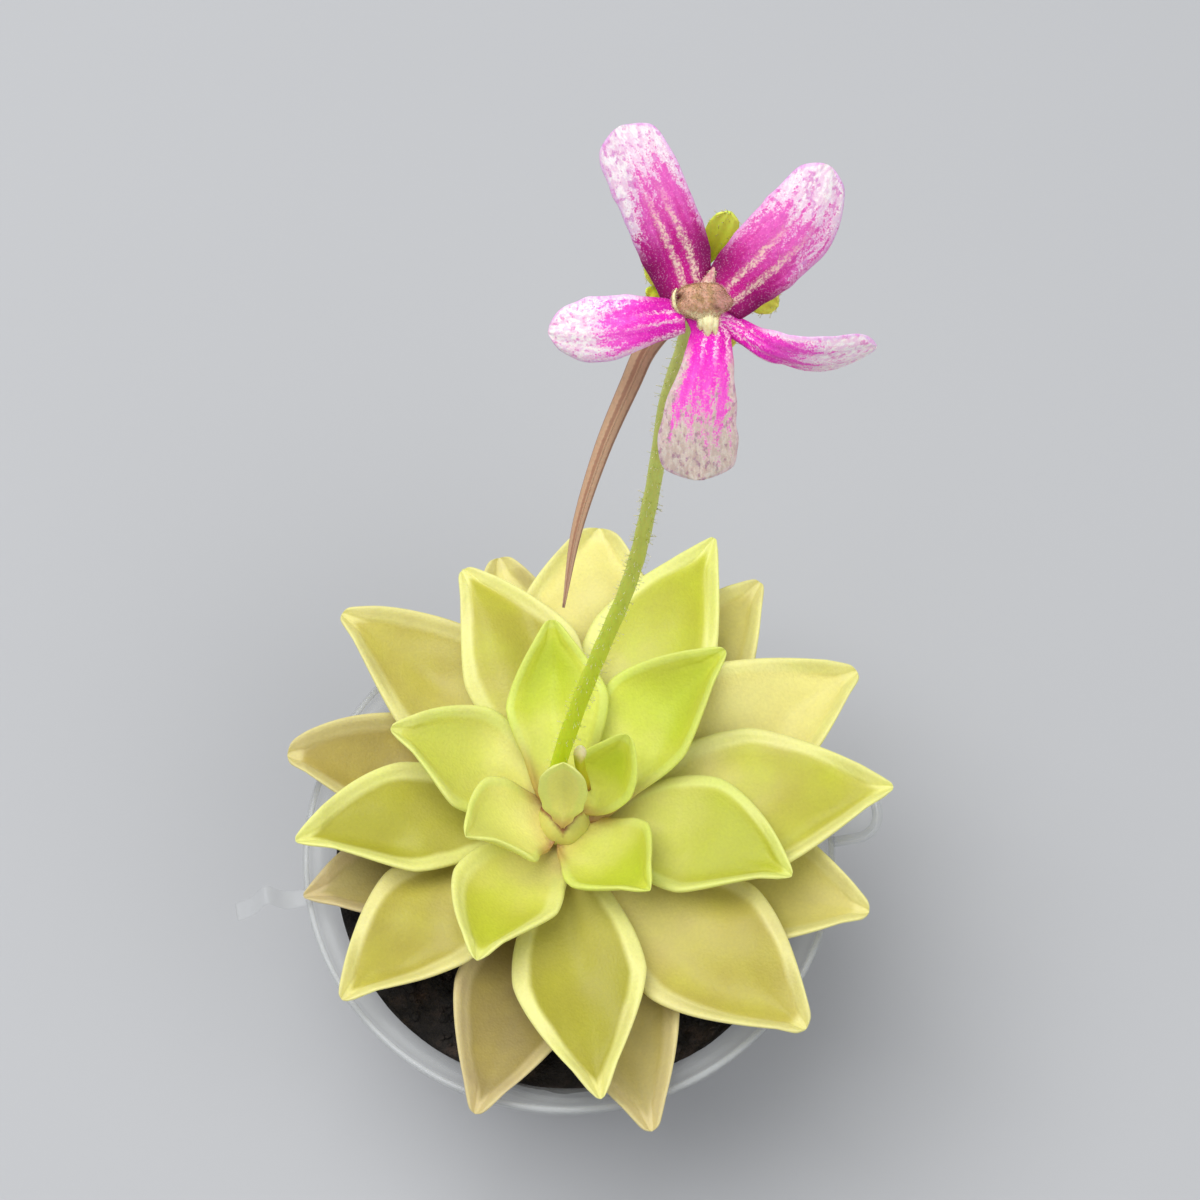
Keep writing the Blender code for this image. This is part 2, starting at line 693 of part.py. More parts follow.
def blade_grids(midline, widths, twist, arch, thickness):
    """The two faces of a petal or sepal, in the flower's own axes, arched across its width."""
    upper, lower = [], []
    for i in range(BLADE_STEPS + 1):
        t = i / BLADE_STEPS
        ahead, behind = point_on(midline, min(1, t + 0.02)), point_on(midline, max(0, t - 0.02))
        tangent = (ahead - behind).normalized()
        side = Vector((0, 0, 1)).cross(tangent).normalized()
        rise = tangent.cross(side)
        turn = Matrix.Rotation(math.radians(twist) * min(1, 2.5 * t), 3, tangent)
        side, rise = turn @ side, turn @ rise
        half = interpolate(widths, t) / 2
        top_row, low_row = [], []
        for j in range(BLADE_SIDES + 1):
            s = 2 * j / BLADE_SIDES - 1
            point = point_on(midline, t) + side * half * s - rise * arch * half * s * s
            top_row.append(point)
            low_row.append(point - rise * thickness)
        upper.append(top_row)
        lower.append(low_row)
    return upper, lower


def build_blade(name, grids, mat):
    points = [in_flower(p) for grid in grids for line in grid for p in line]
    from_faces(name, points, blade_faces(BLADE_STEPS, BLADE_SIDES), mat)


def build_petals(mat):
    for name, (midline, widths, twist) in PETALS.items():
        build_blade(name, blade_grids(midline, widths, twist, PETAL_ARCH, PETAL_THICKNESS), mat)


def build_sepals(mat):
    for name, midline in SEPALS.items():
        build_blade(name, blade_grids(midline, SEPAL_WIDTHS, 0, SEPAL_ARCH, SEPAL_THICKNESS), mat)


def build_corolla_tube(mat):
    """The hollow throat and the spur in one skin: up the well, over the lip, down outside."""
    skins = []
    for line in (smooth_line(THROAT_WELL, 2), smooth_line(TUBE_AND_SPUR, 2)):
        path = [in_flower(p[:3]) for p in line]
        skins.append(rings_along(path, [p[3] for p in line], TUBE_SIDES))
    well, outside = skins
    rings = well[::-1] + outside
    loft("corolla_tube", rings, mat)


def build_throat_parts(pistil_mat, stamen_mat):
    """The ovary with its stigma on the throat's axis, and a stamen on each side."""
    pistil = ((0, 0.35, -4.2), (0, 0.35, -3.2), (0, 0.3, -2.2), (0, 0.3, -1.4), (0, 0.3, -1.1))
    tube("pistil", [in_flower(p) for p in pistil], (0.2, 0.5, 0.3, 0.42, 0.3), 8, pistil_mat)
    filament = ((0.55, -0.45, -4.0), (0.8, -0.5, -3.0), (0.75, -0.45, -2.0), (0.5, -0.4, -1.3))
    for name, side in (("stamen_left", -1), ("stamen_right", 1)):
        line = [in_flower((side * x, y, z)) for x, y, z in smooth_line(filament, 2)]
        tube(name, line, (0.1, 0.12, 0.24), 6, stamen_mat)


def clear_scene():
    for obj in list(bpy.data.objects):
        bpy.data.objects.remove(obj)


clear_scene()
build_pot(material("clear_plastic", (0.82, 0.86, 0.84), 0.08, 0.3, 0.9))
build_crown(material("crown_tissue", (0.42, 0.36, 0.16), 0.55))
build_substrate(material("dark_substrate", (0.035, 0.026, 0.02), 0.9))
build_leaves(
    (
        material("leaf_old", (0.55, 0.40, 0.20), 0.45),
        material("leaf_pale", (0.72, 0.66, 0.30), 0.4),
        material("leaf_young", (0.62, 0.66, 0.20), 0.38),
    )
)
build_scape(material("scape_green", (0.45, 0.52, 0.12), 0.45))
build_corolla_tube(material("spur_tan", (0.55, 0.33, 0.26), 0.55))
build_petals(material("petal_magenta", (0.62, 0.12, 0.50), 0.55))
build_sepals(material("sepal_green", (0.42, 0.48, 0.14), 0.5))
build_throat_parts(
    material("pistil_cream", (0.75, 0.70, 0.45), 0.5),
    material("stamen_cream", (0.82, 0.78, 0.55), 0.5),
)
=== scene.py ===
import math
import random
from collections import namedtuple

import bmesh
import bpy
import numpy as np
from mathutils import Matrix, Vector, noise


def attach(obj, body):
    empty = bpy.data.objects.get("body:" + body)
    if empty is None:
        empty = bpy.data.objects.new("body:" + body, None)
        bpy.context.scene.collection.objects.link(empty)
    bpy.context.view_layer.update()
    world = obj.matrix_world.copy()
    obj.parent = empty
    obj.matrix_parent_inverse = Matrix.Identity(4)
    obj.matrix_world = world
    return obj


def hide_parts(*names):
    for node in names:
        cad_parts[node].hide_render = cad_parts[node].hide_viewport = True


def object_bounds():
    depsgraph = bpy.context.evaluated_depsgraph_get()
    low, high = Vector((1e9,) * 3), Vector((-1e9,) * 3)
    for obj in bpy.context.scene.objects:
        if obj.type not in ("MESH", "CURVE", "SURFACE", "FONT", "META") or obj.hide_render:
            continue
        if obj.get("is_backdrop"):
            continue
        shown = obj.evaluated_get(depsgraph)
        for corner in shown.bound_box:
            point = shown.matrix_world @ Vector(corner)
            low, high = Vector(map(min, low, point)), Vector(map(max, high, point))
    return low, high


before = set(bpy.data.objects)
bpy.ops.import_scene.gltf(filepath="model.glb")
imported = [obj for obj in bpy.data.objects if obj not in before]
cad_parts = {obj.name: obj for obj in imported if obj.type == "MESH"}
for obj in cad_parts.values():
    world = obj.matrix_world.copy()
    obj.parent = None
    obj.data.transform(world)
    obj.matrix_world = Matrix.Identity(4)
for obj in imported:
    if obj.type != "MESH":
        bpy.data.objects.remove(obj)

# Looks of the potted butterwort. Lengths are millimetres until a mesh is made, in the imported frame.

CAD_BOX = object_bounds()
MM = 0.001
BODY = "root"

# ---- sizes, many of them shared with the solids
POT_HEIGHT = 35.0
FLANGE_RADIUS = 31.0
FLANGE_TOP = POT_HEIGHT - 0.9
MOUTH_RADIUS = 28.0
FOOT_RADIUS = 21.6
WALL = 0.8
CUP_SEGMENTS = 176
TAB_AZIMUTH = math.radians(10)
TAB_REACH = 37.0
TAB_HALF_WIDTH = 5.0
STRAP_AZIMUTH = math.radians(191)
SOIL_TOP = 31.6
CROWN_X, CROWN_Y = -0.5, 2.2
CROWN_TOP = 40.2
CROWN_RADIUS = 2.5
CROWN_SHOULDER = 34.0
CROWN_TOP_RADIUS = 1.6

LEAF_STEPS = 8
FOLD = 0.8
LEAF_STATIONS = (-1, -FOLD, -FOLD / 2, 0, FOLD / 2, FOLD, 1)
LEAF_THICKNESS = 1.15
EDGE_THICKNESS = 0.7
MARGIN_RUN = 1.45
MARGIN_RISE = 1.8
BASE_CLEARANCE = 0.4
YOUNGEST_BASE_RADIUS = -2.0
BEND_SHARE = 0.3
# A leaf a row. As in the solids: its tip's x, y and height above the flange, half width, base height,
# dish and sideways bow. Then how fresh it is, from 0, old and tan, to 1, young and bright green, how
# blunt its tip is in mm, how pale it is, from -1, olive, to 1, cream, and how far its margins curl up
# as a share of the solid's. The cream end is partly the leaf's own tone and partly painted light that
# lifts leaves lying in shade.
Leaf = namedtuple("Leaf", "tip_x tip_y tip_height half_width base_height dish bow fresh blunt pale curl")
LEAVES = tuple(map(Leaf._make, (
    (-10.1, -31.5, 2.0, 7.0, -2.4, 0.12, 1.0, 0.05, 1.7, 0.1, 1.0),
    (9.3, -33.4, 2.0, 7.0, -2.4, 0.12, 0.0, 0.12, 1.8, 0.3, 1.0),
    (-8.6, 35.8, 3.0, 7.0, -2.4, 0.12, 0.0, 0.3, 2.4, 0.85, 1.0),
    (22.9, 32.6, 3.0, 7.6, -2.4, 0.12, 0.0, 0.42, 1.6, 0.4, 1.0),
    (-30.3, -6.4, 1.5, 6.6, -2.0, 0.12, 0.0, 0.0, 1.25, 0.3, 1.0),
    (34.0, -9.1, 4.0, 8.0, -2.2, 0.12, 0.0, 0.42, 1.9, 0.4, 1.0),
    (9.0, 33.1, 4.0, 6.2, -2.0, 0.12, 0.0, 0.3, 1.6, 0.5, 1.0),
    (-32.8, 10.1, 3.5, 6.4, -2.0, 0.14, -4.0, 0.22, 2.6, 0.1, 1.0),
    (-25.1, -19.2, 4.0, 6.9, -1.6, 0.16, -2.6, 0.42, 1.6, -0.3, 1.0),
    (26.3, -22.9, 5.5, 8.3, -1.2, 0.18, 0.0, 0.4, 2.3, 0.15, 1.0),
    (33.8, 19.8, 5.5, 8.8, -1.0, 0.18, 0.0, 0.5, 1.8, 0.65, 1.0),
    (3.5, 38.1, 6.5, 8.4, -0.8, 0.2, 0.0, 0.48, 3.4, 0.6, 1.0),
    (-26.9, 26.8, 6.5, 7.2, -0.6, 0.2, -4.5, 0.42, 1.8, 0.2, 1.0),
    (3.7, -31.0, 7.0, 7.1, -0.4, 0.22, -1.3, 0.56, 1.4, -0.7, 1.0),
    (-30.7, -2.0, 8.0, 6.4, -0.2, 0.22, -4.0, 0.66, 1.4, -0.7, 1.0),
    (37.0, 4.5, 8.0, 8.6, 0.2, 0.22, 0.0, 0.6, 1.25, 0.0, 1.0),
    (17.2, 35.8, 8.5, 7.4, 0.4, 0.22, 0.0, 0.72, 1.25, 0.0, 1.0),
    (-12.6, 31.6, 8.5, 6.8, 0.8, 0.22, -4.0, 0.56, 1.8, -0.2, 1.0),
    (24.9, -6.8, 10.0, 7.0, 1.4, 0.24, 3.8, 0.8, 1.4, -0.35, 0.9),
    (-9.8, -16.7, 11.0, 6.2, 1.8, 0.24, -2.6, 0.72, 1.6, 0.0, 0.8),
    (-20.1, 10.0, 12.0, 6.0, 2.2, 0.24, -3.0, 0.8, 1.6, 0.3, 0.75),
    (17.9, 18.6, 14.5, 6.0, 2.6, 0.26, 2.0, 0.95, 1.6, 0.15, 0.8),
    (-2.0, 22.9, 13.5, 5.7, 2.8, 0.26, 0.0, 1.0, 1.8, 0.15, 0.6),
    (9.1, -9.1, 12.0, 5.7, 3.2, 0.26, 0.0, 0.93, 1.25, 0.15, 0.75),
    (-11.2, -3.2, 13.0, 5.5, 3.6, 0.26, -2.0, 0.9, 1.4, 0.5, 0.65),
    (8.1, 6.5, 15.5, 3.7, 4.2, 0.3, 0.0, 1.0, 2.2, 0.15, 0.45),
    (-0.4, 3.6, 18.5, 3.4, 6.0, 0.34, 0.0, 0.85, 2.2, 0.6, 0.3),
)))
LEAF_ROWS = 56
LEAF_SIDE_STATIONS = (0, 0.16, 0.32, 0.47, 0.6, 0.7, 0.77, 0.82, 0.87, 0.91, 0.945, 0.97, 0.988, 1)
# the tip radius that adds nothing to a blade's width, and where along the blade a blunter one does
SHARP = 1.25
BLUNTING = ((0, 0), (0.4, 0), (0.88, 1), (1, 1))
# From the first young leaf to the last but one, bases close over the crown, and all but one widen.
FIRST_YOUNG, NARROW_BASED = 20, 26
BASE_LEAD = 0.12
# the brown crease of painted shade round the youngest leaf's base, a V seen from above: its foot, and how
# steep it is
CREASE_X, CREASE_Y, CREASE_SLOPE = -0.62, 0.5, 1.2
# the youngest leaf's width along it, and how far tips move from the solids' by the leaf's number
BUD_WIDTHS = ((0, 0.06), (0.2, 0.34), (0.45, 0.66), (0.7, 0.8), (0.87, 0.78), (1, 0.6))
TIP_SHIFTS = {26: (-1.4, 2.1, -1.8), 27: (0.0, 0.0, -0.6)}

SCAPE_LINE = (
    (-1.0, 2.9, 40.8),
    (-1.2, 4.9, 47.0),
    (1.45, 8.0, 60.0),
    (3.75, 9.8, 70.0),
    (5.9, 11.5, 78.5),
    (7.2, 12.8, 85.0),
    (8.1, 14.1, 91.5),
    (8.8, 15.2, 98.0),
    (9.7, 17.5, 109.0),
    (11.0, 18.9, 116.5),
    (11.75, 19.9, 123.45),
)
SCAPE_RADII = ((0, 0.95), (0.5, 0.8), (1, 0.62))

# the flower's own axes, from the throat: right, up its face and out of it
THROAT = Vector((11.9, 15.5, 130.0))
FACE_TILT = math.radians(50)
RIGHT = Vector((1, 0, 0))
UP = Vector((0, math.sin(FACE_TILT), math.cos(FACE_TILT)))
FACE = Vector((0, -math.cos(FACE_TILT), math.sin(FACE_TILT)))
PETAL_THICKNESS = 0.4
PETAL_ARCH = 0.25
SEPAL_THICKNESS = 0.45
SEPAL_ARCH = -0.2
# A petal a row, in the flower's axes: its midrib, its widths, its twist in degrees, and
# where it ends inside the throat with its half width there.
PETALS = {
    "petal_upper_left": (
        ((-1.6, 2.65, -0.2), (-3.0, 6.1, 0.6), (-4.7, 10.0, 0.3), (-6.8, 13.9, -1.0)),
        ((0, 5.6), (0.2, 5.95), (0.5, 5.95), (0.77, 5.9), (0.9, 5.3), (1, 3.4)),
        0,
        (-0.95, 0.15, -0.4, 2.25),
    ),
    "petal_upper_right": (
        ((3.05, 0.85, -0.2), (5.47, 3.33, 0.6), (8.35, 6.4, 0.2), (10.6, 10.8, -1.0)),
        ((0, 5.4), (0.2, 6.25), (0.5, 6.7), (0.7, 6.55), (0.88, 5.0), (1, 2.7)),
        0,
        (1.7, -0.55, -0.35, 2.3),
    ),
    "petal_lower_left": (
        ((-2.6, -1.85, 0.0), (-5.6, -2.22, 0.9), (-9.2, -2.8, 0.7), (-12.7, -2.95, -0.4)),
        ((0, 3.5), (0.2, 4.35), (0.5, 5.45), (0.7, 5.45), (0.88, 4.1), (1, 1.9)),
        0,
        (-1.2, -1.75, -0.3, 1.4),
    ),
    "petal_lower_middle": (
        ((1.05, -2.95, 0.0), (0.7, -6.2, 1.0), (0.05, -11.0, 0.9), (0.1, -15.7, -0.2)),
        ((0, 3.35), (0.2, 4.1), (0.35, 4.75), (0.65, 6.5), (0.82, 6.75), (0.93, 6.15), (1, 4.9)),
        0,
        (0.45, -1.9, -0.25, 1.6),
    ),
    "petal_lower_right": (
        ((2.95, -2.65, -0.7), (6.2, -4.5, 1.2), (10.4, -5.25, 1.7), (14.9, -4.2, 0.6)),
        ((0, 1.9), (0.15, 2.3), (0.35, 3.9), (0.6, 5.3), (0.85, 4.4), (1, 1.6)),
        50,
        (1.5, -1.8, -0.6, 1.0),
    ),
}
SEPALS = {
    "sepal_top": ((0.5, 1.6, -6.6), (1.3, 3.5, -4.4), (2.6, 6.7, -2.6)),
    "sepal_left": ((-0.9, 1.4, -6.6), (-2.6, 1.8, -4.6), (-4.4, 1.5, -3.4)),
    "sepal_lower_left": ((-1.6, 0.4, -6.6), (-2.8, -0.2, -4.8), (-3.7, -1.3, -3.9)),
    "sepal_right": ((1.6, -0.3, -6.6), (3.9, -0.1, -4.6), (6.8, -1.2, -3.4)),
    "sepal_lower_right": ((0.6, -1.5, -6.6), (1.6, -3.2, -4.8), (2.6, -5.2, -4.0)),
}
SEPAL_WIDTHS = ((0, 0.7), (0.4, 1.4), (0.72, 2.7), (0.92, 2.1), (1, 0.8))
SPUR_STRIPES = 5
# slits between the palate and the petals: x, y and direction in the flower's axes, half length and
# half width, and how deep, from 0 to 1, which also sets how much painted shade lies in them
THROAT_SLITS = ((-1.75, -0.15, 0.85, 0.55, 0.22, 1.0), (1.45, -1.0, -1.0, 0.45, 0.16, 0.5))
# rows of x, y, z and radius, in the flower's axes but for the young bud's
PALATE_LINES = {
    "palate_ridge": ((0.5, 0.5, -0.7, 0.8), (0.85, 1.4, -0.62, 0.5), (1.2, 2.4, -0.62, 0.1)),
    "palate_tooth_left": ((0.4, -1.0, -0.8, 0.4), (0.2, -1.9, -0.05, 0.4), (0.1, -2.8, -0.05, 0.08)),
    "palate_tooth_middle": ((0.7, -0.9, -0.9, 0.6), (0.72, -2.0, -0.1, 0.7), (0.7, -3.4, -0.05, 0.1)),
    "palate_tooth_right": ((1.1, -1.0, -0.9, 0.4), (1.22, -2.0, -0.05, 0.42), (1.4, -3.3, -0.05, 0.08)),
    "palate_rim": (
        (-1.9, 0.7, -0.3, 0.06),
        (-2.15, 0.1, -0.08, 0.13),
        (-2.05, -0.75, -0.05, 0.15),
        (-1.6, -1.4, -0.1, 0.06),
    ),
}
THROAT_WELL = ((0, 0, -1.3, 1.7), (0, 0, -2.0, 1.55), (0, 0, -4.2, 1.2), (0, 0, -5.0, 0.7))
TUBE_AND_SPUR = (
    (0, 0, -1.2, 2.1),
    (0, 0, -2.0, 2.0),
    (-0.1, -0.2, -4.2, 1.75),
    (-0.9, -1.2, -5.9, 1.35),
    (-2.6, -3.3, -6.6, 1.0),
    (-4.4, -5.6, -6.4, 0.95),
    (-5.6, -8.2, -6.0, 0.9),
    (-8.1, -14.0, -5.2, 0.74),
    (-10.3, -21.0, -4.6, 0.5),
    (-11.5, -27.9, -4.0, 0.12),
)
CALYX = (
    (-0.2, -0.95, -7.9, 0.5),
    (-0.1, -0.6, -7.4, 0.85),
    (0, -0.1, -6.8, 1.3),
    (0, 0, -6.2, 1.5),
    (0, 0, -5.6, 1.55),
    (0, 0, -5.3, 1.2),
)
YOUNG_BUD = (
    (2.3, 4.6, 42.0, 0.3),
    (2.0, 4.9, 44.0, 0.42),
    (1.5, 5.3, 46.2, 0.55),
    (1.3, 5.9, 48.0, 0.62),
    (1.4, 6.4, 49.2, 0.72),
    (1.45, 6.7, 50.2, 0.1),
)


# ---- curves and lofts


def smooth_line(points, steps):
    """Points along the Catmull-Rom curve through the given ones, of any dimension."""
    given = np.array(points, float)
    ends = np.vstack([2 * given[0] - given[1], given, 2 * given[-1] - given[-2]])
    t = (np.arange(steps) / steps)[:, None]
    line = []
    for p0, p1, p2, p3 in zip(ends, ends[1:], ends[2:], ends[3:]):
        cubic = 2 * p0 - 5 * p1 + 4 * p2 - p3 + t * (3 * (p1 - p2) + p3 - p0)
        line.append(p1 + 0.5 * t * (p2 - p0 + t * cubic))
    return np.vstack(line + [given[-1:]])


def point_on(line, t):
    """The point at fraction t of a finely stepped line."""
    x = t * (len(line) - 1)
    k = min(int(x), len(line) - 2)
    return Vector(line[k]).lerp(Vector(line[k + 1]), x - k)


def interpolate(stations, t):
    """The value at t, eased between stations of (t, value)."""
    for (t0, v0), (t1, v1) in zip(stations, stations[1:]):
        if t <= t1:
            x = (t - t0) / (t1 - t0)
            return v0 + (v1 - v0) * x * x * (3 - 2 * x)
    return stations[-1][1]


def full_turn(count):
    """Evenly spaced angles round a circle."""
    return [2 * math.pi * n / count for n in range(count)]


def shares(count):
    """Evenly spaced values from 0 to 1."""
    return [k / (count - 1) for k in range(count)]


def there_and_back(half):
    """Stations from -1 to 1, from those of one side, and the loop along them and back."""
    stations = np.concatenate([-half[:0:-1], half])
    return stations, np.concatenate([stations, stations[-2:0:-1]])


def rings_along(path, radii, sides):
    """Circles square to a path, turned as little as possible from one to the next."""
    path = [Vector(p) for p in path]
    last = len(path) - 1
    turn = full_turn(sides)
    normal = (path[1] - path[0]).orthogonal().normalized()
    rings = []
    for k, centre in enumerate(path):
        tangent = (path[min(k + 1, last)] - path[max(k - 1, 0)]).normalized()
        normal = (normal - tangent * normal.dot(tangent)).normalized()
        side = tangent.cross(normal)
        rings.append([centre + (normal * math.cos(a) + side * math.sin(a)) * radii[k] for a in turn])
    return rings


def tube(line, steps, sides, place=Vector):
    """The curve through rows of x, y, z and radius, and the rings of a tube along it."""
    line = smooth_line(line, steps)
    return line, rings_along([place(p[:3]) for p in line], line[:, 3], sides)


def loft(rings):
    """Points and faces of a closed body through rings of equally many points."""
    sides = len(rings[0])
    count = len(rings)
    faces = [tuple(range(sides)), tuple(range((count - 1) * sides, count * sides))]
    for r in range(count - 1):
        for s in range(sides):
            a, b = r * sides + s, r * sides + (s + 1) % sides
            faces.append((a, b, b + sides, a + sides))
    return [p for ring in rings for p in ring], faces


def joined(bodies):
    """Several bodies' points and faces as one."""
    points, faces = [], []
    for more, polygons in bodies:
        faces += [tuple(len(points) + k for k in face) for face in polygons]
        points += more
    return points, faces


def body_of(bm):
    """The points and faces of a bmesh, which is freed; the faces are sorted, to be the same each run."""
    bm.verts.index_update()
    points, faces = [v.co.copy() for v in bm.verts], []
    for face in bm.faces:
        corners = [v.index for v in face.verts]
        first = corners.index(min(corners))
        faces.append(tuple(corners[first:] + corners[:first]))
    bm.free()
    return points, sorted(faces)


def in_flower(point):
    """A point of the flower's own axes in the plant's."""
    return THROAT + RIGHT * point[0] + UP * point[1] + FACE * point[2]


def around(azimuth, radius, across, z):
    """A point at a radius along an azimuth, moved across it."""
    c, s = math.cos(azimuth), math.sin(azimuth)
    return (radius * c - across * s, radius * s + across * c, z)


# ---- pieces


def piece(name, body, look, slot, replaces=(), **attributes):
    """A mesh from points in millimetres and faces, riding on the plant, with per-point attributes."""
    points, faces = body
    mesh = bpy.data.meshes.new(name)
    mesh.from_pydata([Vector(p) * MM for p in points], [], faces)
    for key, values in attributes.items():
        layer = mesh.attributes.new(key, "FLOAT_VECTOR", "POINT")
        layer.data.foreach_set("vector", np.asarray(values, np.float32).ravel())
    bm = bmesh.new()
    bm.from_mesh(mesh)
    bmesh.ops.recalc_face_normals(bm, faces=bm.faces)
    bm.to_mesh(mesh)
    bm.free()
    mesh.shade_smooth()
    mesh.materials.append(look)
    obj = bpy.data.objects.new(name, mesh)
    bpy.context.scene.collection.objects.link(obj)
    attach(obj, BODY)
    if replaces:
        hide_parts(*replaces)


def hairs(name, rng, roots, look, slot, length, radius, bead=0.0):
    """Fine tapering hairs on (root, direction) pairs, with a small bead at the end if it has a size."""
    sides = 5
    stages = [(0, 1.0), (0.55, 0.7), (0.9, 0.45)]
    if bead:
        stages += [(1.0, bead / radius), (1.0 + 1.2 * bead / length, bead / radius * 0.3)]
    else:
        stages.append((1.0, 0.12))
    radii = [radius * k for _, k in stages]
    bodies = []
    for root, direction in roots:
        size = length * rng.uniform(0.6, 1.2)
        lean = Vector([rng.gauss(0, 0.18) for _ in range(3)])
        path = [root + direction * size * t + lean * size * t * t for t, _ in stages]
        bodies.append(loft(rings_along(path, radii, sides)))
    marks = [(t, 0, 0) for t, _ in stages for _ in range(sides)] * len(roots)
    piece(name, joined(bodies), look, slot, hair=marks)


# ---- looks


def rgb(red, green, blue):
    """A display colour, 0 to 255, as linear RGBA."""
    values = (red / 255, green / 255, blue / 255)
    return tuple(v / 12.92 if v <= 0.04045 else ((v + 0.055) / 1.055) ** 2.4 for v in values) + (1.0,)


class Value:
    """What comes out of a node, with the arithmetic that further nodes do on it."""

    def __init__(self, look, socket):
        self.look = look
        self.socket = socket

    def __add__(self, other):
        return self.look.calc("ADD", self, other)

    def __sub__(self, other):
        return self.look.calc("SUBTRACT", self, other)

    def __mul__(self, other):
        return self.look.calc("MULTIPLY", self, other)

    def __abs__(self):
        return self.look.calc("ABSOLUTE", self)

    def step(self, low, high):
        """0 at low, 1 at high, eased between; low may be the larger."""
        inputs = {"Value": self, "From Min": low, "From Max": high}
        return self.look.node("MapRange", inputs, interpolation_type="SMOOTHSTEP")

    def spread(self, low, high):
        """A value of 0 to 1 spread over a range."""
        return self.look.calc("MULTIPLY_ADD", self, high - low, low)


class Look:
    """A Principled material made from node expressions."""

    def __init__(self, name, **constants):
        self.material = bpy.data.materials.new(name)
        self.material.use_nodes = True
        self.tree = self.material.node_tree
        self.shader = self.tree.nodes["Principled BSDF"]
        for socket, value in constants.items():
            self.shader.inputs[socket.replace("_", " ")].default_value = value

    def node(self, kind, inputs, output=0, **settings):
        """An output of a new node."""
        node = self.tree.nodes.new("ShaderNode" + kind)
        for setting, value in settings.items():
            setattr(node, setting, value)
        for key, value in inputs.items():
            if isinstance(value, Value):
                self.tree.links.new(value.socket, node.inputs[key])
            else:
                node.inputs[key].default_value = value
        return Value(self, node.outputs[output])

    def calc(self, operation, *values):
        return self.node("Math", dict(enumerate(values)), operation=operation)

    def mix(self, factor, a, b, blend="MIX"):
        return self.node("Mix", {0: factor, 6: a, 7: b}, 2, data_type="RGBA", blend_type=blend)

    def split(self, vector):
        """The x, y and z of a vector."""
        x = self.node("SeparateXYZ", {0: vector})
        return [Value(self, socket) for socket in x.socket.node.outputs]

    def attribute(self, name):
        return self.split(self.node("Attribute", {}, "Vector", attribute_name=name))

    def place(self):
        """The point on the object, in millimetres."""
        coordinates = self.node("TexCoord", {}, "Object")
        return self.node("VectorMath", {0: coordinates, "Scale": 1 / MM}, operation="SCALE")

    def combine(self, x, y, z):
        return self.node("CombineXYZ", {0: x, 1: y, 2: z})

    def grain(self, vector, scale, detail=2.0):
        return self.node("TexNoise", {"Vector": vector, "Scale": scale, "Detail": detail})

    def ramp(self, factor, stops):
        color = self.node("ValToRGB", {"Fac": factor})
        elements = color.socket.node.color_ramp.elements
        for k, (position, stop) in enumerate(stops):
            element = elements[k] if k < 2 else elements.new(position)
            element.position = position
            element.color = stop
        return color

    def shade(self, color, value, low, high):
        """A colour made darker and lighter by a noise value."""
        scale = value.spread(low, high)
        return self.mix(1.0, color, self.combine(scale, scale, scale), "MULTIPLY")

    def finish(self, color, roughness, height=None, depth=0.0, strength=0.5):
        """Joins colour, roughness and bump (depth in millimetres) to the shader."""
        joints = {"Base Color": color, "Roughness": roughness}
        if height:
            inputs = {"Height": height, "Distance": depth * MM, "Strength": strength}
            joints["Normal"] = self.node("Bump", inputs)
        for name, value in joints.items():
            self.tree.links.new(value.socket, self.shader.inputs[name])
        return self.material


def even(*colors):
    """Evenly spaced stops of a ramp."""
    return [(k / (len(colors) - 1), rgb(*color)) for k, color in enumerate(colors)]


# colours from old to young leaves
LEAF_FLOOR = even((160, 142, 88), (188, 170, 92), (206, 196, 92), (210, 212, 84), (205, 214, 62))
LEAF_POCKET = even((152, 134, 76), (176, 158, 72), (188, 180, 66), (192, 197, 56), (188, 203, 34))
LEAF_RIM = even((206, 188, 138), (222, 210, 142), (234, 228, 146), (231, 233, 136), (220, 235, 126))
LEAF_BASE = even((166, 144, 92), (208, 188, 116), (242, 232, 148), (240, 236, 140), (224, 228, 108))


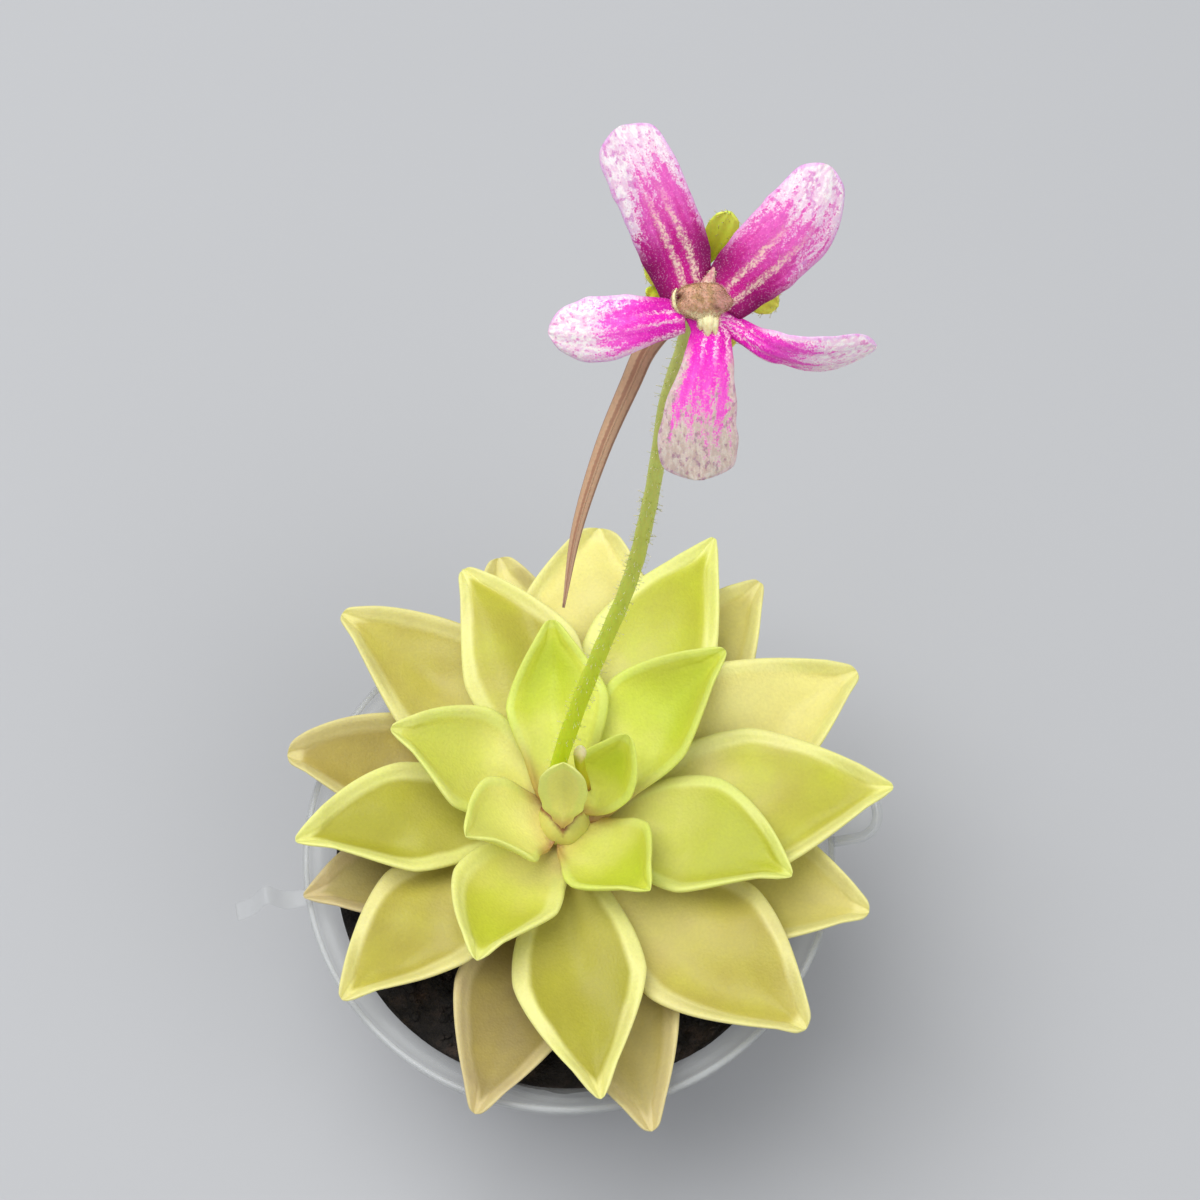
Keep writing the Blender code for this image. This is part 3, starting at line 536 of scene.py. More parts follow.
def leaf_look():
    """Fleshy, slightly translucent skin: pale rims, a greener pocket, a cream base."""
    look = Look(
        "leaf_skin",
        Subsurface_Weight=0.22,
        Subsurface_Scale=1.2 * MM,
        Subsurface_Radius=(1.0, 0.85, 0.3),
        Coat_Weight=0.12,
        Coat_Roughness=0.35,
        IOR=1.42,
    )
    along, edge, _ = look.attribute("leaf")
    fresh, pale, _ = look.attribute("tone")
    place = look.place()
    blotch = look.grain(place, 0.22, 3.0)
    fine = look.grain(place, 2.6, 3.0)
    glands = look.node("TexVoronoi", {"Vector": place, "Scale": 3.2}, "Distance")
    tint = fresh + blotch.spread(-0.16, 0.16)
    pocket = along.step(0.3, 0.8) * edge.step(0.9, 2.4)
    color = look.mix(pocket, look.ramp(tint, LEAF_FLOOR), look.ramp(tint, LEAF_POCKET))
    base = (along + blotch.spread(-0.14, 0.14)).step(0.62, 0.16)
    color = look.mix(base, color, look.ramp(tint, LEAF_BASE))
    # Pale leaves go toward cream, partly their own tone and partly painted light that lifts leaves lying
    # in shade; leaves below 0 go toward olive.
    color = look.mix(pale.step(0.0, 1.0) * 0.9, color, rgb(250, 240, 158))
    color = look.mix(pale.step(0.0, -1.0) * 0.9, color, rgb(164, 157, 46))
    young = fresh.step(0.7, 0.95)
    thin = edge * young.spread(1.0, 2.0)
    rim = (thin + blotch.spread(-0.3, 0.3)).step(1.75, 1.0)
    rim = rim * along.step(0.06, 0.3) * young.spread(1.0, 0.5)
    color = look.mix(rim, color, look.ramp(tint, LEAF_RIM))
    # Tan towards each leaf's base.
    along_jittered = along + blotch.spread(-0.06, 0.06)
    color = look.mix(along_jittered.step(0.26, 0.04) * 0.35, color, rgb(206, 164, 104))
    # Painted shade: a brown band along the margins near the base of young leaves, where they tuck against
    # their neighbours.
    seam_shade = along_jittered.step(0.5, 0.08) * edge.step(1.2, 0.1) * fresh.step(0.7, 0.8)
    color = look.mix(seam_shade * 0.55, color, rgb(176, 122, 78))
    # Browner at the very foot of each leaf.
    base_brown = (along_jittered + fine.spread(-0.04, 0.04)).step(0.07, -0.05)
    color = look.mix(base_brown * 0.75, color, rgb(150, 100, 62))
    color = look.shade(color, fine, 0.9, 1.08)
    color = look.shade(color, blotch, 0.93, 1.07)
    return look.finish(color, fine.spread(0.4, 0.62), fine * 0.7 + glands * 0.5, 0.09)


# ---- leaves


def crown_radius(z):
    """The solid crown's radius at a height."""
    share = min(1, max(0, (z - CROWN_SHOULDER) / (CROWN_TOP - 0.7 - CROWN_SHOULDER)))
    return CROWN_RADIUS + (CROWN_TOP_RADIUS - CROWN_RADIUS) * share


def leaf_width(t):
    """A leaf's width as a share of its widest: waisted at the base, widest past the middle."""
    widest = 0.56
    if t < widest:
        return 0.2 + 0.8 * math.sin(math.pi / 2 * t / widest) ** 1.15
    return 1 - 0.96 * ((t - widest) / (1 - widest)) ** 1.4


def leaf_spine(leaf):
    """Base, bend and tip of a leaf's midrib."""
    crown = Vector((CROWN_X, CROWN_Y, 0))
    out = Vector((leaf.tip_x, leaf.tip_y, 0)) - crown
    reach = out.length
    out.normalize()
    low, high = POT_HEIGHT + leaf.base_height, POT_HEIGHT + leaf.tip_height
    base_radius = crown_radius(low) + BASE_CLEARANCE
    if leaf is LEAVES[-1]:
        base_radius = YOUNGEST_BASE_RADIUS
    base = crown + out * base_radius + Vector((0, 0, low))
    tip = crown + out * reach + Vector((0, 0, high))
    bend = base.lerp(tip, 0.5) + Vector((-out.y, out.x, 0)) * leaf.bow
    bend.z = low + BEND_SHARE * (high - low)
    return base, bend, tip


def midrib(spine, t):
    """A point of the midrib, and the directions across the blade and square to it there."""
    base, bend, tip = spine
    centre = base * (1 - t) ** 2 + bend * 2 * t * (1 - t) + tip * t * t
    tangent = ((bend - base) * (1 - t) + (tip - bend) * t).normalized()
    side = Vector((0, 0, 1)).cross(tangent).normalized()
    return centre, side, tangent.cross(side)


def floor_section(leaf, t, width, run_share, stations):
    """Sideways and upward distances across a leaf whose margins lie flat, and how far they run."""
    run = min(MARGIN_RUN * min(1, 0.15 + 2.5 * t), run_share * width)
    floor = width - run
    across = np.minimum(np.abs(stations) / FOLD, 1)
    sideways = np.sign(stations) * (floor * across + run * margin_share(stations))
    return sideways, leaf.dish * floor * across**2 * min(1, 0.2 + 2 * t), run


def margin_share(stations):
    """0 on the floor of a leaf and 1 on its edge, turning sharply at the fold."""
    return np.maximum(0, (np.abs(stations) - FOLD) / (1 - FOLD))


def soft_margin_share(stations):
    """The same, turning gently."""
    softness = 0.3
    x = (np.abs(stations) - FOLD) / (1 - FOLD)
    value = (x + np.sqrt(x * x + softness)) / 2
    return value / ((1 + math.sqrt(1 + softness)) / 2)


def settled_lift(number, leaf):
    """How far each station of the solid leaf was raised when it settled on its neighbours."""
    spine = leaf_spine(leaf)
    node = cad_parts[f"leaf_{number:02d}"]
    corners = np.array([v.co for v in node.data.vertices]) / MM
    stations = np.array(LEAF_STATIONS)
    lift = np.zeros((LEAF_STEPS + 1, len(stations)))
    for i in range(LEAF_STEPS + 1):
        t = i / LEAF_STEPS
        centre, side, rise = midrib(spine, t)
        sideways, upward, run = floor_section(leaf, t, leaf.half_width * leaf_width(t), 0.45, stations)
        upward = upward + run * MARGIN_RISE / MARGIN_RUN * margin_share(stations)
        for j, (x, y) in enumerate(zip(sideways, upward)):
            point = centre + side * x + rise * y
            away = np.hypot(corners[:, 0] - point.x, corners[:, 1] - point.y)
            lift[i, j] = corners[away < away.min() + 0.02, 2].max() - point.z
    return lift


def spline_weights(positions, count):
    """Rows of Catmull-Rom weights that read count evenly spaced values at positions."""
    weights = np.zeros((len(positions), count))
    for row, x in enumerate(positions):
        k = min(int(x), count - 2)
        f = x - k
        cubic = (
            f * (-1 + f * (2 - f)) / 2,
            (2 + f * f * (3 * f - 5)) / 2,
            f * (1 + f * (4 - 3 * f)) / 2,
            f * f * (f - 1) / 2,
        )
        for offset, weight in zip((-1, 0, 1, 2), cubic):
            weights[row, min(max(k + offset, 0), count - 1)] += weight
    return weights


def leaf_section(leaf, t, width, stations):
    """A leaf's cross-section as a closed loop of sideways and upward distances, from its width at t."""
    sideways, upward, run = floor_section(leaf, t, width, 0.6, stations)
    upward = upward + leaf.curl * run * MARGIN_RISE / MARGIN_RUN * soft_margin_share(stations)
    upward = upward - 0.1 * np.exp(-((stations / 0.1) ** 2)) * min(1, width / 4)
    d_side, d_up = np.gradient(sideways), np.gradient(upward)
    length = np.hypot(d_side, d_up)
    normal = np.stack([-d_up / length, d_side / length], -1)
    body = 0.45 + 0.55 * math.sin(math.pi * min(1, 0.15 + 0.85 * t))
    depth = body * (EDGE_THICKNESS + (LEAF_THICKNESS - EDGE_THICKNESS) * (1 - stations**2))
    depth = depth * min(1, 0.3 + leaf.half_width / 12) * min(1, width / 1.1)
    bead = 1 + 0.6 * np.exp(-(((np.abs(stations) - 0.94) / 0.07) ** 2))
    plump = depth * bead * np.sqrt(np.maximum(0, 1 - np.abs(stations) ** 28))
    middle = np.stack([sideways, upward], -1) - normal * depth[:, None] / 2
    top = middle + normal * plump[:, None] / 2
    bottom = middle - normal * plump[:, None] / 2
    return np.vstack([top, bottom[-2:0:-1]]), np.concatenate([sideways, sideways[-2:0:-1]])


def build_leaf(number, leaf, look):
    rng = random.Random(number)
    base, bend, tip = leaf_spine(leaf)
    spine = base, bend, tip + Vector(TIP_SHIFTS.get(number, (0, 0, 0)))
    closing = FIRST_YOUNG <= number < len(LEAVES)
    lead = BASE_LEAD if closing else 0.0
    inner = Vector((CROWN_X, CROWN_Y, base.z)).lerp(base, 0.5)
    length = (spine[2] - base).length
    stations, loop = there_and_back(np.array(LEAF_SIDE_STATIONS))
    steps = [(1 + lead) * (1 - (1 - k / LEAF_ROWS) ** 1.5) - lead for k in range(LEAF_ROWS + 1)]
    over = spline_weights([max(0, t) * LEAF_STEPS for t in steps], LEAF_STEPS + 1)
    columns = np.interp(loop, LEAF_STATIONS, range(len(LEAF_STATIONS)))
    raised = over @ settled_lift(number, leaf) @ spline_weights(columns, len(LEAF_STATIONS)).T
    shift = Vector([rng.uniform(0, 50) for _ in range(3)])
    rings, marks = [], []
    for step, rises in zip(steps, raised):
        t = max(0, step)
        centre, side, rise = midrib(spine, t)
        to_tip = (1 - step) * length + 0.01
        width = leaf.half_width * leaf_width(t)
        width += 0.8 * (leaf.blunt - SHARP) * interpolate(BLUNTING, t)
        if closing and number != NARROW_BASED:
            width += 0.3 * leaf.half_width * math.exp(-((t / 0.2) ** 2))
        if leaf is LEAVES[-1]:
            width = leaf.half_width * interpolate(BUD_WIDTHS, t)
        if step < 0:
            centre = centre.lerp(inner, -step / lead)
            width *= 1 + 3 * step
        width = (width**-4 + (2 * leaf.blunt * to_tip + 2.2 * to_tip**2) ** -2) ** -0.25
        section, sideways = leaf_section(leaf, t, width, stations)
        ring = []
        for s, (x, y), up in zip(loop, section, rises):
            wave = noise.noise(shift + Vector((step * 2.2, math.copysign(3, s), 0)))
            point = centre + side * (x * (1 + 0.05 * wave * abs(s))) + rise * y
            point.z += up + 0.1 * noise.noise(shift + point * 0.16) * min(1, 3 * step)
            ring.append(point)
        rings.append(ring)
        marks += [(step, min(0.85 * (width - abs(x)), 0.8 * to_tip), 0) for x in sideways]
    tone = np.tile((leaf.fresh, leaf.pale, 0), (len(marks), 1))
    slot = ("leaf_old", "leaf_pale", "leaf_young")[(number - 1) // 9]
    name = f"leaf_{number:02d}"
    piece(name + "_blade", loft(rings), look, slot, (name,), leaf=marks, tone=tone)


def build_leaves():
    look = leaf_look()
    for number, leaf in enumerate(LEAVES, 1):
        build_leaf(number, leaf, look)


# ---- the cup


def rounded(profile, radius, steps):
    """A profile with its inner corners rounded, between two ends on the axis."""
    line = [profile[0]]
    for before, corner, after in zip(profile, profile[1:], profile[2:]):
        before, corner, after = Vector(before), Vector(corner), Vector(after)
        cut = min(radius, 0.45 * (corner - before).length, 0.45 * (after - corner).length)
        start = corner + (before - corner).normalized() * cut
        end = corner + (after - corner).normalized() * cut
        for k in range(steps + 1):
            t = k / steps
            line.append(tuple(start * (1 - t) ** 2 + corner * 2 * t * (1 - t) + end * t * t))
    return line + [profile[-1]]


def turned(profile, segments):
    """Points and faces of a profile, closed or with both ends on the axis, spun round the axis."""
    bm = bmesh.new()
    verts = [bm.verts.new((r, 0, z)) for r, z in profile]
    edges = [bm.edges.new(pair) for pair in zip(verts, verts[1:])]
    bmesh.ops.spin(
        bm, geom=verts + edges, axis=(0, 0, 1), cent=(0, 0, 0), angle=2 * math.pi, steps=segments
    )
    bmesh.ops.remove_doubles(bm, verts=bm.verts, dist=0.001)
    return body_of(bm)


def plastic_look(name, alpha):
    """Thin clear plastic, faintly hazed and scuffed."""
    look = Look(name, Alpha=alpha, IOR=1.4, Coat_Weight=0.8, Coat_Roughness=0.12)
    place = look.place()
    haze = look.grain(place, 0.12, 4.0)
    scuff = look.grain(place, 1.8, 3.0)
    color = look.mix(haze, rgb(196, 200, 200), rgb(222, 225, 225))
    return look.finish(color, haze.spread(0.12, 0.3) + scuff.spread(-0.03, 0.06), scuff, 0.02, 0.25)


def build_pot():
    look = plastic_look("clear_cup", 0.13)
    # The lip and the tab's rib are hazier and whiter than the cup, a painted highlight along the raised
    # edges.
    edge = plastic_look("clear_edge", 0.26)
    wall = (
        (0, 0),
        (FOOT_RADIUS - 2.2, 0),
        (FOOT_RADIUS, 0.0),
        (FOOT_RADIUS + 0.6, 1.4),
        (MOUTH_RADIUS + 0.5, FLANGE_TOP - 1.8),
        (MOUTH_RADIUS + 1.1, FLANGE_TOP - 0.9),
        (FLANGE_RADIUS - 0.1, FLANGE_TOP - 0.8),
        (FLANGE_RADIUS, POT_HEIGHT),
        (FLANGE_RADIUS - 1.0, POT_HEIGHT),
        (FLANGE_RADIUS - 1.25, FLANGE_TOP),
        (MOUTH_RADIUS + 0.5, FLANGE_TOP),
        (MOUTH_RADIUS - 0.2, FLANGE_TOP - 0.7),
        (FOOT_RADIUS - 0.2, WALL + 0.8),
        (FOOT_RADIUS - 0.9, WALL),
        (0, WALL),
    )
    piece("cup", turned(rounded(wall, 0.45, 4), CUP_SEGMENTS), look, "clear_plastic", ("pot",))
    lip, thick = [], 0.36
    for k in range(17):
        a = math.pi * k / 8
        lip.append((FLANGE_RADIUS - 0.5 + thick * math.cos(a), POT_HEIGHT - 0.42 + thick * math.sin(a)))
    piece("cup_lip", turned(lip, CUP_SEGMENTS), edge, "clear_plastic", ("pot",))
    build_tab(edge, look)
    build_strap(plastic_look("clear_strap", 0.1))


def tab_outline(reach, half_width):
    """The tab's rim seen from above: out, round the two corners and back."""
    corner = 3.0
    points = [(FLANGE_RADIUS - 0.5, -half_width)]
    for k in range(9):
        a = math.radians(-90 + 11.25 * k)
        points.append((reach - corner + corner * math.cos(a), corner - half_width + corner * math.sin(a)))
    return points + [(r, -across) for r, across in reversed(points)]


def build_tab(edge, look):
    """The lid-catch tab: a rounded rib bent round a thin web."""
    rib = 0.62
    outline = tab_outline(TAB_REACH - rib, TAB_HALF_WIDTH - rib)
    path = [around(TAB_AZIMUTH, r, c, FLANGE_TOP - 0.05) for r, c in outline]
    body = loft(rings_along(path, [rib] * len(path), 14))
    piece("cup_tab_rib", body, edge, "clear_plastic", ("pot",))
    rings = []
    for z, inset in ((FLANGE_TOP - 0.7, 0.3), (FLANGE_TOP - 0.6, 0.0), (FLANGE_TOP - 0.1, 0.0)):
        rings.append([around(TAB_AZIMUTH, r - inset, c * (1 - inset / 5), z) for r, c in outline])
    piece("cup_tab_web", loft(rings), look, "clear_plastic", ("pot",))


def build_strap(look):
    """The folded stub of the lid's living hinge."""
    half_width, half_depth = 1.1, 0.24
    fold = smooth_line(((30.2, 34.2), (33.2, 34.6), (35.0, 37.5), (36.8, 34.8), (38.9, 33.4)), 8)
    rings = []
    for k, (r, z) in enumerate(fold):
        ahead, behind = fold[min(k + 1, len(fold) - 1)], fold[max(k - 1, 0)]
        slope = math.atan2(ahead[1] - behind[1], ahead[0] - behind[0])
        ring = []
        for a in full_turn(16):
            across = half_width * math.copysign(abs(math.cos(a)) ** 0.35, math.cos(a))
            lift = half_depth * math.copysign(abs(math.sin(a)) ** 0.6, math.sin(a))
            out, up = r - lift * math.sin(slope), z + 0.25 + lift * math.cos(slope)
            ring.append(around(STRAP_AZIMUTH, out, across, up))
        rings.append(ring)
    piece("cup_hinge_strap", loft(rings), look, "clear_plastic", ("pot",))


# ---- the substrate


def soil_look():
    """Damp black peat, browner and drier in patches."""
    look = Look("peat", Specular_IOR_Level=0.35)
    place = look.place()
    coarse = look.grain(place, 0.45, 5.0)
    fine = look.grain(place, 3.0, 4.0)
    black, dark, brown, light = rgb(15, 13, 12), rgb(36, 31, 27), rgb(54, 43, 36), rgb(86, 64, 49)
    color = look.ramp(coarse, ((0.25, black), (0.5, dark), (0.64, brown), (0.8, light)))
    color = look.shade(color, fine, 0.55, 1.35)
    return look.finish(color, coarse.spread(0.95, 0.55), coarse + fine, 0.5, 0.9)


def soil_height(x, y):
    """The uneven top of the peat."""
    rough = 1.0 * noise.noise(Vector((x, y, 0)) * 0.16 + Vector((3.1, 7.7, 1.3)))
    rough += 0.5 * noise.noise(Vector((x, y, 5)) * 0.55) + 0.25 * noise.noise(Vector((x, y, 9)) * 1.3)
    return SOIL_TOP - 0.3 + rough


def build_substrate():
    look = soil_look()
    foot, top = FOOT_RADIUS - 0.6, MOUTH_RADIUS - 0.7
    low, high = WALL + 1, SOIL_TOP - 0.6
    profile = [(0, WALL + 0.2), (FOOT_RADIUS - 1.0, WALL + 0.2)]
    profile += [(foot + (top - foot) * k / 24, low + (high - low) * k / 24) for k in range(25)]
    profile += [(top * k / 44, SOIL_TOP) for k in range(44, -1, -1)]
    points, faces = turned(profile, 150)
    for point in points:
        if point.z > SOIL_TOP - 0.3:
            point.z = soil_height(point.x, point.y)
        elif point.xy.length > 1:
            inward = 0.25 + 0.35 * noise.noise(point * 0.5) + 0.2 * noise.noise(point * 1.4)
            point.xy -= point.xy.normalized() * max(0, inward)
    piece("peat_bed", (points, faces), look, "dark_substrate", ("substrate",))
    rng = random.Random(11)
    piece("peat_crumbs", joined(crumbs(1500, rng)), look, "dark_substrate")
    piece("peat_fibres", joined(fibres(170, rng)), look, "dark_substrate")


def crumbs(count, rng):
    """Loose knobby crumbs lying on the peat."""
    ball = bmesh.new()
    bmesh.ops.create_icosphere(ball, subdivisions=1, radius=1)
    corners, faces = body_of(ball)
    for _ in range(count):
        r = (MOUTH_RADIUS - 1.6) * math.sqrt(rng.uniform(0.12, 1))
        a = rng.uniform(0, 2 * math.pi)
        x, y = r * math.cos(a), r * math.sin(a)
        size = min(1.1, 0.25 + rng.expovariate(4))
        stretch = Vector((rng.uniform(0.7, 1.5), rng.uniform(0.6, 1.1), rng.uniform(0.4, 0.8))) * size
        turn = Matrix.Rotation(rng.uniform(0, math.pi), 3, "Z")
        centre = Vector((x, y, soil_height(x, y) + 0.15 * size))
        knobs = [1 + 0.35 * noise.noise(p * 1.7 + centre) for p in corners]
        yield [centre + turn @ (p * stretch) * knob for p, knob in zip(corners, knobs)], faces


def fibres(count, rng):
    """Short wandering fibres lying on the peat."""
    for _ in range(count):
        r = (MOUTH_RADIUS - 3) * math.sqrt(rng.uniform(0.2, 1))
        a, heading = rng.uniform(0, 2 * math.pi), rng.uniform(0, 2 * math.pi)
        spot, path = Vector((r * math.cos(a), r * math.sin(a))), []
        for _ in range(7):
            path.append(Vector((spot.x, spot.y, soil_height(spot.x, spot.y) + rng.uniform(0.05, 0.5))))
            heading += rng.gauss(0, 0.35)
            spot = spot + Vector((math.cos(heading), math.sin(heading))) * 0.55
            if spot.length > MOUTH_RADIUS - 1.5:
                spot *= (MOUTH_RADIUS - 1.5) / spot.length
        yield loft(rings_along(path, [0.09] * 6 + [0.03], 5))


# ---- the flower


def blade(midline, widths, arch, thickness, rows, wave, seed, twist=0, inner=None):
    """Rings of a petal or sepal, and the (across, along, half width) of each of their points."""
    line = smooth_line(midline, 24)
    outline = smooth_line(widths, 12)
    stations, loop = there_and_back(np.sin(np.linspace(0, math.pi / 2, 14)))
    lead = 0.14 if inner else 0.0
    rings, marks = [], []
    for k in range(rows + 1):
        step = -lead + (1 + lead) * (1 - (1 - k / rows) ** 1.35)
        t = max(0, step)
        centre = point_on(line, t)
        tangent = (point_on(line, min(1, t + 0.02)) - point_on(line, max(0, step - 0.02))).normalized()
        side = Vector((0, 0, 1)).cross(tangent).normalized()
        turn = Matrix.Rotation(math.radians(twist) * min(1, 2.5 * t), 3, tangent)
        side, rise = turn @ side, turn @ tangent.cross(side)
        width = np.interp(step, outline[:, 0], outline[:, 1]) / 2
        if step < 0:
            centre = centre.lerp(Vector(inner[:3]), -step / lead)
            width += (inner[3] - width) * -step / lead
        closing = min(1, max(0, (t - 0.93) / 0.07))
        width = width * math.sqrt(1 - closing**2) + 0.01
        flesh = thickness * min(1, width / 0.5) * (0.75 + 0.25 * (1 - t))
        top, bottom = [], []
        for s in stations:
            ragged = 1 + wave * noise.noise(Vector((step * 7, math.copysign(5, s), seed))) * abs(s)
            ripple = 0.5 * wave * noise.noise(Vector((step * 5, s * 2, seed + 9)))
            ripple = 0.05 * math.sin(9 * s + seed) + ripple
            lengthen = wave * 3.0 * noise.noise(Vector((s * 2.6, 3, seed))) * max(0, step - 0.8) * 5
            point = centre + side * (width * s * ragged) + tangent * lengthen * 0.4
            point = point - rise * (arch * width * s * s - ripple * min(1, width))
            plump = flesh * math.sqrt(max(0, 1 - abs(s) ** 7))
            top.append(point - rise * (thickness - plump) / 2)
            bottom.append(point - rise * (thickness + plump) / 2)
        rings.append([in_flower(p) for p in top + bottom[-2:0:-1]])
        marks += [(s, step, width) for s in loop]
    return rings, marks


def petal_look(
    name, seed, deep, bright, tip, freckle, border, streaks, streak, edge_pale,
    side_pale=0.0, dark_base=0.85, lilac=0.5, margin=0.8,
):
    """Velvety petal: a coloured base with ragged fingers into a pale, freckled tip.

    Streaks are (place across at the base, drift, half width in mm, reach), pale and beaded.
    """
    look = Look(name, Subsurface_Weight=0.12, Subsurface_Scale=0.5 * MM, Specular_IOR_Level=0.25)
    across, along, half = look.attribute("petal")
    x, y = across * half, along * 15.0
    far = abs(across)

    def drawn_out(stretch, shift, scale, detail):
        """Noise stretched along the petal."""
        return look.grain(look.combine(x, y * stretch, seed + shift), scale, detail)

    grains = drawn_out(0.4, 0, 3.4, 4.0)
    fingers = drawn_out(0.1, 7, 1.0, 3.0)
    veins = drawn_out(0.06, 3, 2.2, 3.0)
    fine = look.grain(look.place(), 7.0)
    beads = look.grain(look.place(), 4.6, 1.0)
    rough_edge = grains.spread(-0.35, 0.35) + fine.spread(-0.25, 0.25)
    front = along + (fingers.spread(-0.5, 0.5) + rough_edge)
    front = front + across.step(0.1, 0.8) * side_pale
    fringe = (far + rough_edge * 0.7).step(margin, margin + 0.18)
    fringe = fringe * along.step(0.06, 0.3) * edge_pale
    painted = front.step(border + 0.13, border - 0.12) * look.calc("SUBTRACT", 1.0, fringe)
    pale = look.mix(grains.step(0.38, 0.62), tip[0], tip[1])
    spots = drawn_out(0.6, 20, 2.3, 2.0).step(0.54, 0.66) * fine.step(0.3, 0.5)
    pale = look.mix(spots * 0.8, pale, freckle)
    edging = (far + along.step(0.9, 1.0) * 0.4).step(0.86, 1.0)
    pale = look.mix(edging * lilac, pale, rgb(224, 150, 226))
    flush = along + (veins.spread(-0.3, 0.3) + grains.spread(-0.15, 0.15))
    ink = look.mix(flush.step(0.05, 0.62), deep, bright)
    corner = along.step(0.34, 0.0) * far.step(0.05, 0.9)
    ink = look.mix(corner * dark_base, ink, rgb(112, 0, 72))
    ink = look.mix(fine.step(0.54, 0.7) * 0.22, ink, tip[1])
    ink = look.shade(ink, grains, 0.78, 1.22)
    color = look.mix(painted, pale, ink)
    for place, drift, thin, reach in streaks:
        line = (across - look.calc("MULTIPLY_ADD", along, drift, place)) * half
        line = line + grains.spread(-0.45, 0.45) + fine.spread(-0.4, 0.4)
        shown = abs(line).step(thin, thin * 0.2) * along.step(reach, reach * 0.3)
        shown = shown * beads.step(0.4, 0.58).spread(0.25, 0.9)
        color = look.mix(shown, color, streak)
    color = look.shade(color, fine, 0.86, 1.12)
    return look.finish(color, fine.spread(0.5, 0.72), fine * 0.5 + veins * 0.6, 0.08)


def build_petals():
    """The lobes, and their styles in the order of PETALS."""
    upper = dict(
        deep=rgb(196, 12, 136),
        bright=rgb(222, 92, 182),
        tip=(rgb(238, 228, 230), rgb(226, 192, 214)),
        freckle=rgb(204, 116, 186),
        streak=rgb(240, 212, 192),
    )
    lower = dict(deep=rgb(238, 20, 190), bright=rgb(252, 96, 212), streak=rgb(252, 214, 226))
    white = dict(tip=(rgb(254, 246, 242), rgb(244, 206, 228)), freckle=rgb(226, 124, 194))
    beige = dict(tip=(rgb(222, 208, 194), rgb(206, 184, 172)), freckle=rgb(170, 124, 146), lilac=0.15)
    styles = (
        dict(
            border=0.68, side_pale=0.3, edge_pale=0.7, **upper,
            streaks=((0.08, 0.12, 0.42, 0.74), (-0.38, 0.18, 0.42, 0.68)),
        ),
        dict(
            border=0.68, edge_pale=0.6, **upper,
            streaks=((0.16, 0.0, 0.42, 0.74), (-0.32, -0.1, 0.42, 0.8)),
        ),
        dict(
            border=0.52, edge_pale=0.9, margin=0.74, dark_base=0.4, **lower, **white,
            streaks=((0.1, 0.1, 0.26, 0.42), (0.84, 0.0, 0.4, 0.6), (-0.35, 0.1, 0.16, 0.36)),
        ),
        dict(
            border=0.58, edge_pale=0.95, margin=0.68, dark_base=0.3, **lower, **beige,
            streaks=((-0.3, 0.0, 0.24, 0.34), (0.25, 0.0, 0.24, 0.36), (0.8, -0.2, 0.24, 0.34)),
        ),
        dict(
            border=0.56, edge_pale=0.9, margin=0.72, dark_base=0.4, **lower, **white,
            streaks=((-0.35, 0.1, 0.2, 0.42), (0.1, 0.0, 0.16, 0.35), (0.5, 0.0, 0.16, 0.3)),
        ),
    )
    for number, (name, style) in enumerate(zip(PETALS, styles)):
        midline, widths, twist, inner = PETALS[name]
        rings, marks = blade(
            midline, widths, PETAL_ARCH, PETAL_THICKNESS, 72, 0.05, 3.7 * number, twist, inner
        )
        look = petal_look(name + "_velvet", number + 1, **style)
        piece(name + "_lobe", loft(rings), look, "petal_magenta", (name,), petal=marks)


def green_look(name, stops):
    """Soft green tissue, coloured along the part."""
    look = Look(
        name, Subsurface_Weight=0.15, Subsurface_Scale=0.6 * MM, Coat_Weight=0.1, Coat_Roughness=0.35
    )
    along, _, _ = look.attribute("stem")
    place = look.place()
    fine = look.grain(place, 3.0, 3.0)
    upright = look.node("VectorMath", {0: place, 1: (2.2, 2.2, 0.12)}, operation="MULTIPLY")
    streak = look.grain(upright, 1.0)
    color = look.ramp(along + streak.spread(-0.06, 0.06), stops)
    color = look.shade(color, streak, 0.88, 1.12)
    color = look.shade(color, fine, 0.92, 1.08)
    return look.finish(color, fine.spread(0.42, 0.6), fine + streak, 0.06)


def hair_look(name, root, middle, end):
    """Clear glandular hairs, coloured from root to end."""
    look = Look(name, Transmission_Weight=0.25, IOR=1.4, Coat_Weight=0.3)
    along, _, _ = look.attribute("hair")
    fine = look.grain(look.place(), 2.0)
    color = look.ramp(along, ((0.0, root), (0.7, middle), (1.0, end)))
    return look.finish(look.shade(color, fine, 0.85, 1.12), fine.spread(0.2, 0.4))


def build_scape():
    sides = 26
    line = smooth_line(SCAPE_LINE, 10)
    along = shares(len(line))
    radii = [interpolate(SCAPE_RADII, t) * (1 + 0.03 * math.sin(k * 0.9)) for k, t in enumerate(along)]
    rings = rings_along(line, radii, sides)
    stops = (
        (0.0, rgb(214, 236, 8)),
        (0.25, rgb(208, 226, 40)),
        (0.55, rgb(200, 208, 84)),
        (1.0, rgb(204, 210, 116)),
    )
    skin = green_look("scape_skin", stops)
    marks = [(t, 0, 0) for t in along for _ in range(sides)]
    piece("scape_stalk", loft(rings), skin, "scape_green", ("scape",), stem=marks)
    rng = random.Random(5)
    roots = []
    for _ in range(620):
        k = rng.randrange(2, len(line) - 2)
        s = rng.randrange(sides)
        spot = rings[k][s].lerp(rings[k + 1][s], rng.random())
        roots.append((spot, (rings[k][s] - Vector(line[k])).normalized()))
    down = hair_look("scape_down", rgb(210, 220, 110), rgb(226, 230, 160), rgb(240, 230, 196))
    hairs("scape_hairs", rng, roots, down, "scape_green", 0.42, 0.028, bead=0.055)


